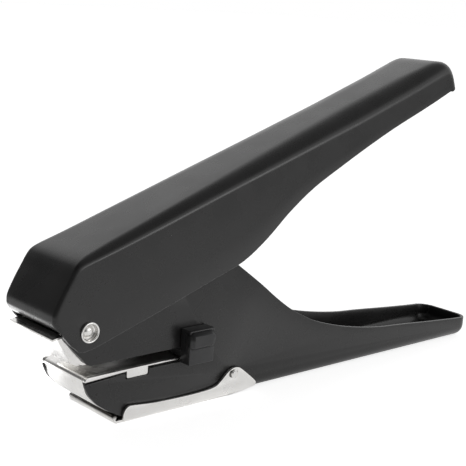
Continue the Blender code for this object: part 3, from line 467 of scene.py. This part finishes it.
def handle_shell(material):
    """The upper handle's skin: one pressed channel, curled under at the nose, closed behind."""
    side = HANDLE_WIDTH / 2
    rows = []
    for top_x, top_z, in_x, in_z, wide, deep, edge_x, edge_z in spline(coarse_ribs(), RIB_STEPS):
        top_x, top_z = min(top_x, HANDLE_REACH), min(top_z, HANDLE_TOP)
        wall_x, wall_z = top_x + deep * in_x, top_z + deep * in_z
        row = []
        for step in range(WALL_STEPS):
            t = step / WALL_STEPS
            row.append((edge_x + (wall_x - edge_x) * t, -side, edge_z + (wall_z - edge_z) * t))
        for step in range(SHOULDER_STEPS + 1):
            angle = pi / 2 * step / SHOULDER_STEPS
            drop = deep * (1 - sin(angle))
            row.append((top_x + drop * in_x, -side + wide * (1 - cos(angle)),
                        top_z + drop * in_z))
        for step in range(1, ACROSS_STEPS + 1):
            row.append((top_x, (wide - side) * (1 - step / ACROSS_STEPS), top_z))
        rows.append(row)
    count = len(rows[0])
    points = [point for row in rows for point in row]
    faces = [(a, a + count, a + count + 1, a + 1)
             for i in range(len(rows) - 1) for a in range(i * count, i * count + count - 1)]
    mesh = bpy.data.meshes.new("handle_half")
    mesh.from_pydata(points, [], faces)
    mirror = ("MIRROR", {"use_axis": (False, True, False), "merge_threshold": WELD,
                         "use_clip": True})
    mesh = settle(mesh, mirror, sheet(HANDLE_SHEET, even=False))
    mesh = combined(mesh, "DIFFERENCE", rivet_hole(HANDLE_WIDTH * 2))
    mesh = settle(mesh, *broken_edges())
    finished("handle_shell", mesh, HANDLE_AXES, "handle", "black_lacquer", material,
             "upper_handle")


# Lower handle


def jaw_front():
    """The lower jaw's front edge, from the throat slot down to the plate's foot."""
    shares = ((0.02, 0.12), (0.069, 0.234), (0.124, 0.343), (0.18, 0.416), (0.324, 0.577),
              (0.455, 0.679), (0.593, 0.774), (0.738, 0.861), (0.86, 0.93), (1.0, 1.0))
    slope = [(along, SLOT_FLOOR + up) for along, up in
             scaled(shares, LOWER_JAW_SLOPE, -LOWER_JAW_DEPTH)]
    return [(slope[0][0], SLOT_FLOOR - SLOT_FALL), *slope]


def frame_outline():
    """The lower handle's side plate: pivot lobe, both jaws, throat slot, base and rim."""
    rim_shares = ((1.0, -0.762), (0.98, -0.757), (0.96, -0.749), (0.921, -0.732),
                  (0.861, -0.703), (0.77, -0.655), (0.707, -0.626), (0.643, -0.571),
                  (0.583, -0.497), (0.524, -0.394), (0.487, -0.3), (0.449, -0.181),
                  (0.411, -0.026), (0.375, 0.139), (0.34, 0.29), (0.3125, 0.406))
    cover_shares = ((0.283, 0.93), (0.251, 1.0), (0.202, 0.97), (0.101, 0.72))
    lobe = arc((0, 0), PIVOT_LOBE_RADIUS, 90, PIVOT_LOBE_END_DEG)
    slope = atan2(JAW_HEIGHT - BRACKET_LEAD, PIVOT_LOBE_RADIUS - BRACKET_LEAD)
    corner = (JAW_CORNER_RADIUS - BRACKET_DROP, JAW_CORNER_RADIUS - JAW_HEIGHT)
    nose = arc(corner, JAW_CORNER_RADIUS, 270 - degrees(slope), 270)
    notch_low = SLOT_FLOOR - DIE_TAB_DROP + DIE_SHEET
    notch_half = DIE_TAB_LENGTH / 2 + RUN_GAP
    notch_front, notch_rear = DIE_TAB_ALONG - notch_half, DIE_TAB_ALONG + notch_half
    slot = [(SLOT_REACH, -JAW_HEIGHT), (SLOT_REACH, SLOT_FLOOR), (notch_rear, SLOT_FLOOR),
            (notch_rear, notch_low), (notch_front, notch_low), (notch_front, SLOT_FLOOR)]
    hinge = (TRAY_HINGE_ALONG, -TRAY_HINGE_DROP)
    base = arc(hinge, TRAY_SWING_RADIUS, 270, TRAY_SWING_END_DEG)
    base += [(WEB_START, GROUND + WEB_RELIEF_HEIGHT), (WEB_START, GROUND), (FRAME_REACH, GROUND)]
    rim = spline(scaled(rim_shares, FRAME_REACH, PIVOT_HEIGHT), 4)
    straight = FRAME_REACH - FRAME_CORNER_RADIUS * 4 / 3
    rim = [rim[0]] + [point for point in rim if point[0] < straight]
    cover = scaled(cover_shares, FRAME_REACH, FRAME_COVERED_TOP)
    return lobe + nose + slot + spline(jaw_front(), 2) + base + rim + cover


def frame_shell(material):
    """The lower handle and both jaws' side plates, folded from one sheet."""
    mesh = slab(frame_outline(), FRAME_WIDTH)

    def is_open(along, up, normal):
        behind = along > WEB_START and normal.z < cos(pi * 3 / 8)
        return not (behind and up < -JAW_HEIGHT and (normal.z < 0 or normal.x > cos(pi / 8)))

    open_slab(mesh, is_open)
    weights = mesh.attributes.new("bevel_weight_edge", "FLOAT", "EDGE")
    for edge in mesh.edges:
        ends = [mesh.vertices[index].co for index in edge.vertices]
        if min(end.x for end in ends) > FRAME_REACH - WELD and ends[0].y * ends[1].y > 0:
            weights.data[edge.index].value = 1
    mesh = settle(mesh, rounding(FRAME_CORNER_RADIUS, 14, "WEIGHT"),
                  rounding(FRAME_EDGE_RADIUS, 12), sheet(FRAME_SHEET))
    across = FRAME_WIDTH + CUT_OVERRUN
    mesh = combined(mesh, "DIFFERENCE", rivet_hole(across), bracket_pin_hole(across),
                    tray_peg_hole(across))
    mesh = settle(mesh, *broken_edges())
    finished("frame_shell", mesh, PIVOT, "frame", "black_lacquer", material, "lower_frame")


def rivet(material):
    """Tubular rivet, its heads rolled over a dish with a bright crowned centre."""
    seat = HANDLE_WIDTH / 2 + RUN_GAP / 6
    end = seat + RIVET_HEAD_HEIGHT
    crown = (RIVET_HEAD_RADIUS + RIVET_DISH_RADIUS) / 2
    dish = end - RIVET_DISH_DEPTH
    roll = (RIVET_HEAD_RADIUS - RIVET_DISH_RADIUS) / 2
    floor_shares = ((0, 0.6), (0.35, 0.55), (0.62, 0.3), (0.8, 0.05), (1.0, 0.3))
    floor_line = [(across, dish + up)
                  for across, up in scaled(floor_shares, RIVET_DISH_RADIUS, RIVET_DISH_DEPTH)]
    half = spline(floor_line, 4) + [*arc((crown, end - roll), roll, 180, 0),
                                    (RIVET_HEAD_RADIUS, seat), (RIVET_RADIUS, seat)]
    profile = half + [(r, -h) for r, h in reversed(half)]
    axes = PIVOT @ Matrix.Rotation(pi / 2, 4, "X")
    finished("rivet", turned(profile, False), axes, "frame", "nickel", material, "pivot_rivet")


# Jaws


def bracket(material):
    """Bright folded bracket inside the upper jaw, with a flange that reaches out under the nose."""
    lead = PIVOT_LOBE_RADIUS + BRACKET_LEAD / 2
    toe = (0, BRACKET_UNDERSIDE)
    flange_back = -JAW_REACH + NOSE_FLANGE_DEPTH
    flange_front_top = NOSE_FLANGE_TOP - NOSE_FLANGE_FALL
    flange_line = [(flange_back, NOSE_FLANGE_TOP), (flange_back, NOSE_FLANGE_TOP - NOSE_FLANGE_THICK),
                   (-JAW_REACH, flange_front_top - NOSE_FLANGE_THICK), (-JAW_REACH, flange_front_top)]
    outline = [(-lead, NOSE_FLANGE_TOP - NOSE_FLANGE_THICK),
               (toe[0] - BRACKET_BEND * 2, toe[1] + BRACKET_BEND), toe,
               (BRACKET_REACH - BRACKET_BEND, toe[1]), (BRACKET_REACH, toe[1] + BRACKET_BEND),
               (BRACKET_REACH, BRACKET_TOP), (BRACKET_REACH / 2, BRACKET_TOP),
               (0, PIVOT_LOBE_RADIUS - BRACKET_SHEET), (-lead / 2, PIVOT_LOBE_RADIUS / 2)]
    mesh = slab(outline, BRACKET_WIDTH)
    open_slab(mesh, lambda along, up, normal: normal.z > cos(pi * 3 / 8) or up > BRACKET_TOP / 8)
    mesh = settle(mesh, rounding(BRACKET_BEND, 8), sheet(BRACKET_SHEET))
    mesh = combined(mesh, "UNION", slab(flange_line, FRAME_WIDTH))
    across = BRACKET_WIDTH + CUT_OVERRUN
    mesh = combined(mesh, "DIFFERENCE", rivet_hole(across), bracket_pin_hole(across),
                    bush_hole(BRACKET_UNDERSIDE, BRACKET_UNDERSIDE))
    mesh = settle(mesh, *broken_edges())
    finished("bracket", mesh, PIVOT, "frame", "nickel", material, "guide_bracket")


def die_sheet(material):
    """Bright die plate on the lower jaw, its lip folded down and its side tabs in their notches."""
    nose = jaw_front()[2:DIE_LIP_POINTS]
    inset = DIE_SETBACK + DIE_SHEET / 2
    middle = DIE_UNDERSIDE + DIE_SHEET / 2
    bend = (inset + DIE_BEND, middle - DIE_BEND)
    rear = SLOT_REACH - RUN_GAP
    line = [(rear, middle), *arc(bend, DIE_BEND, 90, 180)]
    line += spline([(along + inset, up + inset / 3) for along, up in nose], 3)
    mesh = slab(strip(line, DIE_SHEET), FRAME_INNER - 2 * RUN_GAP)
    half = DIE_TAB_LENGTH / 2
    tab_front, tab_rear = DIE_TAB_ALONG - half, DIE_TAB_ALONG + half
    tab_top = DIE_TOP - DIE_SHEET / 2
    low = DIE_UNDERSIDE + DIE_EDGE_GAP
    edge_line = arc(bend, DIE_BEND + DIE_SHEET / 2, 90, 180)
    edge_line += [(DIE_SETBACK, low - SLOT_FALL + DIE_DROOP), (tab_front, low), (tab_rear, low),
                  (tab_rear, tab_top), (rear, tab_top), (rear, DIE_TOP)]
    tab_low = DIE_TOP - DIE_TAB_DROP + DIE_TAB_CORNER
    tab_line = [*arc((tab_front + DIE_TAB_CORNER, tab_low), DIE_TAB_CORNER, 180, 270),
                *arc((tab_rear - DIE_TAB_CORNER, tab_low), DIE_TAB_CORNER, 270, 360),
                (tab_rear, tab_top), (tab_front, tab_top)]
    join = FRAME_INNER / 2 + RUN_GAP
    parts = [box((inset + DIE_BEND, -join, DIE_UNDERSIDE), (rear, join, DIE_TOP))]
    for side in (-1, 1):
        plate_middle = side * (FRAME_WIDTH - FRAME_SHEET) / 2
        parts += [slab(outline, FRAME_SHEET, plate_middle) for outline in (edge_line, tab_line)]
    mesh = combined(mesh, "UNION", *parts)
    mesh = combined(mesh, "DIFFERENCE", bush_hole(DIE_UNDERSIDE, DIE_TOP))
    mesh = settle(mesh, *broken_edges())
    for vertex in mesh.vertices:
        vertex.co.z -= DIE_DROOP * max(0, 1 - vertex.co.x / tab_front)
    finished("die_sheet", mesh, PIVOT, "frame", "nickel", material, "die_plate",
             within=("die_plate", "lower_frame"))


def tray_outline():
    """The chip tray's side flange with its hinge ear."""
    flange_shares = ((0, 0.12), (0, 0.25), (0.007, 0.38), (0.02, 0.475), (0.039, 0.532),
                     (0.069, 0.532), (0.205, 0.453), (0.375, 0.415), (0.55, 0.41), (0.662, 0.463),
                     (0.713, 0.62), (0.763, 0.863), (0.797, 0.968), (0.826, 1.0), (0.855, 0.965),
                     (0.89, 0.832), (0.955, 0.537), (0.991, 0.358), (1.0, 0.274),
                     (0.9925, 0.19), (0.97, 0.155))
    flange = spline(scaled(flange_shares, TRAY_REAR - TRAY_FRONT, TRAY_EAR_HEIGHT), 3)
    outline = [(min(max(TRAY_FRONT + along, TRAY_FRONT), TRAY_REAR),
                TRAY_UNDERSIDE + min(up, TRAY_EAR_HEIGHT)) for along, up in flange]
    outline += [(TRAY_FLOOR_END, TRAY_UNDERSIDE), (TRAY_FRONT + TRAY_EDGE_RADIUS, TRAY_UNDERSIDE)]
    return outline[::-1]


def tray(material):
    """Bright chip tray: floor, side flanges with hinge ears, and the rolled front lip."""
    mesh = slab(tray_outline(), TRAY_WIDTH)
    open_slab(mesh, lambda along, up, normal: not (
        normal.z < -cos(pi / 8) and along < TRAY_FLOOR_END))
    mesh = settle(mesh, rounding(TRAY_EDGE_RADIUS, 6), sheet(TRAY_SHEET))
    middle = TRAY_UNDERSIDE + TRAY_SHEET / 2
    lip_top = TRAY_UNDERSIDE + TRAY_LIP_HEIGHT - TRAY_LIP_ROLL
    front = TRAY_LIP_ALONG + TRAY_SHEET / 2
    line = [(TRAY_FRONT + TRAY_EDGE_RADIUS * 3, middle),
            *arc((front + TRAY_SHEET, middle + TRAY_SHEET), TRAY_SHEET, 270, 180),
            (front, lip_top)]
    mesh = combined(mesh, "UNION", slab(strip(line, TRAY_SHEET), FRAME_WIDTH),
                    cross_rod(TRAY_LIP_ROLL, FRAME_WIDTH, (front, lip_top)))
    mesh = combined(mesh, "DIFFERENCE", tray_peg_hole(TRAY_WIDTH + CUT_OVERRUN))
    mesh = settle(mesh, *broken_edges())
    finished("tray", mesh, PIVOT, "tray", "nickel", material, "chip_tray")


def slider(material):
    """Black paper guide: a chamfered knob outside the near plate, a bar across, a far clip."""
    low = SLOT_FLOOR
    top = -JAW_HEIGHT + GUIDE_RISE
    near = -FRAME_WIDTH / 2 - RUN_GAP
    rear = GUIDE_ALONG + GUIDE_LENGTH
    base = settle(box((GUIDE_ALONG, near - GUIDE_BASE_DEPTH, low), (rear, near, top)),
                  rounding(GUIDE_EDGE, 4))
    knob_low = top - GUIDE_KNOB_HEIGHT
    knob_top = top - GUIDE_EDGE
    outline = [(GUIDE_ALONG - GUIDE_EDGE, knob_low)]
    outline += arc((rear - GUIDE_CORNER, knob_low + GUIDE_CORNER), GUIDE_CORNER, 270, 360)
    outline += arc((rear - GUIDE_CORNER, knob_top - GUIDE_CORNER), GUIDE_CORNER, 0, 90)
    outline += [(GUIDE_ALONG - GUIDE_EDGE, knob_top)]
    inside = near - GUIDE_BASE_DEPTH / 2
    outside = near - GUIDE_KNOB_DEPTH
    knob = settle(slab(outline, inside - outside, (inside + outside) / 2),
                  rounding(GUIDE_CHAMFER, 1))
    far = FRAME_WIDTH / 2 + RUN_GAP
    bar = box((GUIDE_ALONG + RUN_GAP, inside, DIE_TOP + RUN_GAP),
              (rear - RUN_GAP, far + GUIDE_FAR_DEPTH / 2, BRACKET_UNDERSIDE - RUN_GAP))
    clip = box((GUIDE_ALONG, far, low), (rear, far + GUIDE_FAR_DEPTH, knob_low))
    mesh = combined(base, "UNION", knob, bar, clip)
    mesh = settle(mesh, *broken_edges(EDGE_BREAK / 2))
    finished("slider", mesh, PIVOT, "guide", "black_plastic", material, "paper_guide")


# Finishes


def new_material(name):
    material = bpy.data.materials.new(name)
    material.use_nodes = True
    tree = material.node_tree
    return material, tree, tree.nodes["Principled BSDF"]


def noise(tree, scale, detail=4.0, roughness=0.55, stretch=(1, 1, 1)):
    """Noise read from the object's own coordinates, scale in features a metre."""
    coords = tree.nodes.new("ShaderNodeTexCoord")
    mapping = tree.nodes.new("ShaderNodeMapping")
    mapping.inputs["Scale"].default_value = stretch
    texture = tree.nodes.new("ShaderNodeTexNoise")
    texture.inputs["Scale"].default_value = scale
    texture.inputs["Detail"].default_value = detail
    texture.inputs["Roughness"].default_value = roughness
    tree.links.new(coords.outputs["Object"], mapping.inputs["Vector"])
    tree.links.new(mapping.outputs["Vector"], texture.inputs["Vector"])
    return texture.outputs["Fac"]


def ramp(tree, source, low, high, out_low, out_high):
    """Map a value from low..high to out_low..out_high, held at both ends."""
    step = tree.nodes.new("ShaderNodeMapRange")
    step.inputs["From Min"].default_value = low
    step.inputs["From Max"].default_value = high
    step.inputs["To Min"].default_value = out_low
    step.inputs["To Max"].default_value = out_high
    tree.links.new(source, step.inputs["Value"])
    return step.outputs["Result"]


def feed(tree, value, socket):
    """Give a socket another node's output, or a plain value."""
    if isinstance(value, bpy.types.NodeSocket):
        tree.links.new(value, socket)
    else:
        socket.default_value = value


def combine(tree, operation, first, second):
    """A Math node on two values, either of which may be a plain number."""
    step = tree.nodes.new("ShaderNodeMath")
    step.operation = operation
    feed(tree, first, step.inputs[0])
    feed(tree, second, step.inputs[1])
    return step.outputs["Value"]


def product(tree, value, *others):
    """A value multiplied by each of the others in turn."""
    for other in others:
        value = combine(tree, "MULTIPLY", value, other)
    return value


def mix_over(tree, factor, under, over):
    """A plain colour laid over another, or over a colour socket, where the factor says."""
    mix = tree.nodes.new("ShaderNodeMix")
    mix.data_type = "RGBA"
    mix.inputs["B"].default_value = (*over, 1)
    feed(tree, (*under, 1) if isinstance(under, tuple) else under, mix.inputs["A"])
    tree.links.new(factor, mix.inputs["Factor"])
    return mix.outputs["Result"]


def coordinates(tree, kind):
    """The X, Y and Z sockets of one kind of texture coordinate."""
    coords = tree.nodes.new("ShaderNodeTexCoord")
    split = tree.nodes.new("ShaderNodeSeparateXYZ")
    tree.links.new(coords.outputs[kind], split.inputs["Vector"])
    return split.outputs


def surface(tree, shader, colour, roughness, height, strength, depth):
    """Link a finish's colour, roughness and bump to the shader."""
    relief = tree.nodes.new("ShaderNodeBump")
    relief.inputs["Strength"].default_value = strength
    relief.inputs["Distance"].default_value = depth
    tree.links.new(height, relief.inputs["Height"])
    tree.links.new(colour, shader.inputs["Base Color"])
    tree.links.new(roughness, shader.inputs["Roughness"])
    tree.links.new(relief.outputs["Normal"], shader.inputs["Normal"])


# Edge mask: wear along the edges, and on the lacquer a painted highlight along them as well.
def edge_wear_and_highlight(tree, radius, scale):
    """Near one along the edges, broken up by noise, and zero on the flats."""
    soft = tree.nodes.new("ShaderNodeBevel")
    soft.samples = 6
    soft.inputs["Radius"].default_value = radius
    flat = tree.nodes.new("ShaderNodeNewGeometry")
    turn = tree.nodes.new("ShaderNodeVectorMath")
    turn.operation = "DOT_PRODUCT"
    tree.links.new(soft.outputs["Normal"], turn.inputs[0])
    tree.links.new(flat.outputs["Normal"], turn.inputs[1])
    edge = ramp(tree, turn.outputs["Value"], 0.98, 0.88, 0, 1)
    return product(tree, edge, ramp(tree, noise(tree, scale, detail=3), 0.3, 0.6, 0.45, 1))


def punch_slot_shade(tree):
    """Near one on level faces round the punch pin, between the die plate and the bracket: painted shade.
    """
    coords = tree.nodes.new("ShaderNodeTexCoord")
    away = tree.nodes.new("ShaderNodeVectorMath")
    away.operation = "DISTANCE"
    middle = (PUNCH_ALONG, 0, (DIE_TOP + BRACKET_UNDERSIDE) / 2)
    away.inputs[1].default_value = PIVOT @ Vector(middle)
    tree.links.new(coords.outputs["Object"], away.inputs[0])
    upward = combine(tree, "ABSOLUTE", coordinates(tree, "Normal")["Z"], 0)
    level = ramp(tree, upward, 0.4, 0.8, 0, 1)
    near = ramp(tree, away.outputs["Value"], PUNCH_RADIUS * 2, PUNCH_RADIUS * 5.5, 1, 0)
    return product(tree, level, near)


def lip_painted_shade(tree):
    """Near one on the upper half of the tray's front lip: painted shade."""
    place = coordinates(tree, "Object")
    top = PIVOT @ Vector((TRAY_LIP_ALONG, 0, TRAY_UNDERSIDE + TRAY_LIP_HEIGHT))
    roll = TRAY_LIP_ROLL
    ahead = ramp(tree, place["X"], top.x + roll * 3, top.x + roll * 2, 0, 1)
    above = ramp(tree, place["Z"], top.z - roll * 1.8, top.z - roll / 3, 0, 1)
    below = ramp(tree, place["Z"], top.z, top.z + RUN_GAP, 1, 0)
    return product(tree, ahead, above, below)


def flange_painted_shade(tree):
    """One on the rear half of the nose flange, under the nose, and zero elsewhere: painted shade."""
    place = coordinates(tree, "Object")
    underside = NOSE_FLANGE_TOP - NOSE_FLANGE_THICK * 2
    back = PIVOT @ Vector((NOSE_FLANGE_DEPTH - JAW_REACH, 0, underside))
    middle = back.x - NOSE_FLANGE_DEPTH / 2
    ahead = ramp(tree, place["X"], back.x, back.x - RUN_GAP, 0, 1)
    behind = ramp(tree, place["X"], middle - RUN_GAP, middle + RUN_GAP, 0, 1)
    above = ramp(tree, place["Z"], back.z - RUN_GAP, back.z, 0, 1)
    return product(tree, ahead, behind, above)


def lacquer():
    """Semi-gloss black lacquer with faint orange peel, handling haze, and pale edges that are partly
    wear and partly a painted highlight.
    """
    deep, hazy, edge_tone = (0.0145, 0.0143, 0.0143), (0.0185, 0.018, 0.018), (0.3, 0.3, 0.3)
    material, tree, shader = new_material("black_lacquer")
    haze = noise(tree, 90, detail=5)
    colour = mix_over(tree, ramp(tree, haze, 0.35, 0.7, 0, 1), deep, hazy)
    # Pale edges: partly wear, partly a painted highlight.
    colour = mix_over(tree, edge_wear_and_highlight(tree, EDGE_BREAK, 700), colour, edge_tone)
    roughness = ramp(tree, haze, 0.3, 0.7, 0.24, 0.31)
    surface(tree, shader, colour, roughness, noise(tree, 1500, detail=2), 0.05, ORANGE_PEEL_DEPTH)
    return material


def nickel():
    """Bright plated sheet with rolling lines and darker edges from wear, with painted shade in the punch
    slot, on the tray lip's upper half and on the nose flange's rear half, and rougher in the slot and on
    the flange.
    """
    bright, cloudy, edge_tone = (0.86, 0.85, 0.83), (0.76, 0.75, 0.735), (0.3, 0.29, 0.28)
    # Colours of painted shade: in the punch slot and on the tray lip, and on the nose flange's rear
    # half.
    painted_dark, flange_shade_colour = (0.07, 0.065, 0.06), (0.3, 0.295, 0.29)
    material, tree, shader = new_material("nickel")
    shader.inputs["Metallic"].default_value = 1
    lines = noise(tree, 130, detail=6, roughness=0.65, stretch=(1, 40, 1))
    cloud = ramp(tree, noise(tree, 140, detail=3), 0.35, 0.7, 0, 1)
    slot_shade, flange_shade = punch_slot_shade(tree), flange_painted_shade(tree)
    colour = mix_over(tree, cloud, bright, cloudy)
    colour = mix_over(tree, edge_wear_and_highlight(tree, EDGE_BREAK, 700), colour, edge_tone)
    # Painted shade in the punch slot and on the tray lip's upper half.
    colour = mix_over(tree, combine(tree, "MAXIMUM", slot_shade, lip_painted_shade(tree)), colour, painted_dark)
    # Painted shade on the nose flange's rear half, under the nose.
    colour = mix_over(tree, flange_shade, colour, flange_shade_colour)
    gloss = ramp(tree, lines, 0.3, 0.7, 0.18, 0.3)
    dull = combine(tree, "ADD", ramp(tree, slot_shade, 0, 1, 0, 0.25), ramp(tree, flange_shade, 0, 1, 0, 0.25))
    roughness = combine(tree, "ADD", gloss, dull)
    surface(tree, shader, colour, roughness, lines, 0.06, TOOL_LINE_DEPTH)
    return material


def turned_steel():
    """Machined steel with fine tool lines round its axis and polished edges."""
    pale, dark, polished = (0.52, 0.52, 0.53), (0.36, 0.36, 0.37), (0.7, 0.7, 0.7)
    material, tree, shader = new_material("plain_steel")
    shader.inputs["Metallic"].default_value = 1
    lines = noise(tree, 900, detail=3, roughness=0.6, stretch=(0.1, 0.1, 1))
    colour = mix_over(tree, lines, pale, dark)
    colour = mix_over(tree, edge_wear_and_highlight(tree, EDGE_BREAK, 900), colour, polished)
    roughness = ramp(tree, lines, 0.3, 0.7, 0.24, 0.4)
    surface(tree, shader, colour, roughness, lines, 0.1, TOOL_LINE_DEPTH)
    return material


def moulded_plastic():
    """Black moulded plastic with a fine spark-eroded grain and paler rubbed patches and edges."""
    fresh, rubbed, edge_tone = (0.021, 0.021, 0.022), (0.029, 0.029, 0.03), (0.07, 0.07, 0.07)
    material, tree, shader = new_material("black_plastic")
    rub = noise(tree, 260)
    colour = mix_over(tree, ramp(tree, rub, 0.4, 0.7, 0, 1), fresh, rubbed)
    colour = mix_over(tree, edge_wear_and_highlight(tree, EDGE_BREAK, 700), colour, edge_tone)
    roughness = ramp(tree, rub, 0.3, 0.7, 0.32, 0.42)
    surface(tree, shader, colour, roughness, noise(tree, 4200, detail=2), 0.25, GRAIN_DEPTH)
    return material


# Light, floor and camera


def studio_world():
    """White studio room: white to the camera, darker overhead, far left and low on the right."""
    world = bpy.data.worlds.new("studio")
    bpy.context.scene.world = world
    world.use_nodes = True
    tree = world.node_tree
    way = coordinates(tree, "Generated")
    overhead = ramp(tree, way["Z"], 0.6, 0.8, 1, 0.25)
    left = ramp(tree, way["X"], -0.4, 0.15, 0.15, 1)
    low = ramp(tree, way["Z"], 0.05, 0.2, 0.6, 0)
    low_right = product(tree, low, ramp(tree, way["X"], 0.5, 0.8, 0, 1))
    shade = product(tree, overhead, left, combine(tree, "SUBTRACT", 1, low_right))
    path = tree.nodes.new("ShaderNodeLightPath")
    seen = combine(tree, "MAXIMUM", path.outputs["Is Camera Ray"], shade)
    back = tree.nodes["Background"]
    back.inputs["Color"].default_value = (1, 1, 1, 1)
    tree.links.new(seen, back.inputs["Strength"])


def studio_floor():
    """A pale floor, white to the camera, that keeps the punch's shadow and glows in the bright metal's
    reflections, most near the punch.
    """
    mesh = bpy.data.meshes.new("floor")
    shape = bmesh.new()
    bmesh.ops.create_grid(shape, x_segments=1, y_segments=1, size=FLOOR_REACH)
    shape.to_mesh(mesh)
    shape.free()
    floor = bpy.data.objects.new("floor", mesh)
    bpy.context.scene.collection.objects.link(floor)
    material, tree, shader = new_material("floor")
    shader.inputs["Base Color"].default_value = (0.86, 0.86, 0.86, 1)
    shader.inputs["Roughness"].default_value = 0.9
    shader.inputs["Specular IOR Level"].default_value = 0.1
    shader.inputs["Emission Color"].default_value = (1, 1, 1, 1)
    path = tree.nodes.new("ShaderNodeLightPath")
    mirrored = combine(tree, "MAXIMUM", path.outputs["Is Glossy Ray"],
                       path.outputs["Is Transmission Ray"])
    away = tree.nodes.new("ShaderNodeVectorMath")
    away.operation = "LENGTH"
    coords = tree.nodes.new("ShaderNodeTexCoord")
    tree.links.new(coords.outputs["Object"], away.inputs[0])
    # Glow seen only in reflections, strongest near the punch: a painted reflection source.
    fading = ramp(tree, away.outputs["Value"], FLOOR_FADE_START, FLOOR_FADE_END, 0.54, 0.05)
    seen = combine(tree, "MAXIMUM", ramp(tree, path.outputs["Is Camera Ray"], 0, 1, 0, 0.75),
                   product(tree, mirrored, fading))
    tree.links.new(seen, shader.inputs["Emission Strength"])
    mesh.materials.append(material)


def lamp(name, kind, place, target, power, **settings):
    """A lamp of the given kind, aimed from its place at the target."""
    light = bpy.data.lights.new(name, kind)
    light.energy = power
    for key, value in settings.items():
        setattr(light, key, value)
    holder = bpy.data.objects.new(name, light)
    holder.location = place
    holder.rotation_euler = (Vector(target) - Vector(place)).to_track_quat("-Z", "Y").to_euler()
    bpy.context.scene.collection.objects.link(holder)


def camera():
    lens = bpy.data.cameras.new("camera")
    lens.lens = CAMERA_LENS_MM
    lens.sensor_width = CAMERA_SENSOR_MM
    lens.clip_start = CAMERA_NEAR
    eye = bpy.data.objects.new("camera", lens)
    bpy.context.scene.collection.objects.link(eye)
    up = CAMERA_RIGHT.cross(CAMERA_FORWARD)
    turn = Matrix((CAMERA_RIGHT, up, -CAMERA_FORWARD)).transposed()
    eye.matrix_world = Matrix.Translation(CAMERA_PLACE) @ turn.to_4x4()
    bpy.context.scene.camera = eye


def dress(frame):
    """Give every node its finish and lay the fine skins over the sheet-metal ones."""
    black, bright, steel, plastic = lacquer(), nickel(), turned_steel(), moulded_plastic()
    finishes = {"black_lacquer": black, "nickel": bright, "plain_steel": steel,
                "black_plastic": plastic}
    for row in frame["record"]["subparts"]:
        node = frame["nodes"][row["node"]]
        node.data.materials.clear()
        node.data.materials.append(finishes[row["material_slot"]])
    handle_shell(black)
    frame_shell(black)
    rivet(bright)
    bracket(bright)
    die_sheet(bright)
    tray(bright)
    slider(plastic)


def main():
    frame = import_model()
    dress(frame)
    studio_world()
    studio_floor()
    lamp("side_card", "AREA", SIDE_CARD_PLACE, SIDE_CARD_TARGET, SIDE_CARD_POWER,
         shape="RECTANGLE", size=SIDE_CARD_SIZE[0], size_y=SIDE_CARD_SIZE[1])
    lamp("floor_spot", "SPOT", FLOOR_SPOT_PLACE, FLOOR_SPOT_TARGET, FLOOR_SPOT_POWER,
         spot_size=radians(FLOOR_SPOT_CONE_DEG), spot_blend=1)
    camera()
    bpy.context.scene.view_settings.view_transform = "Standard"


main()
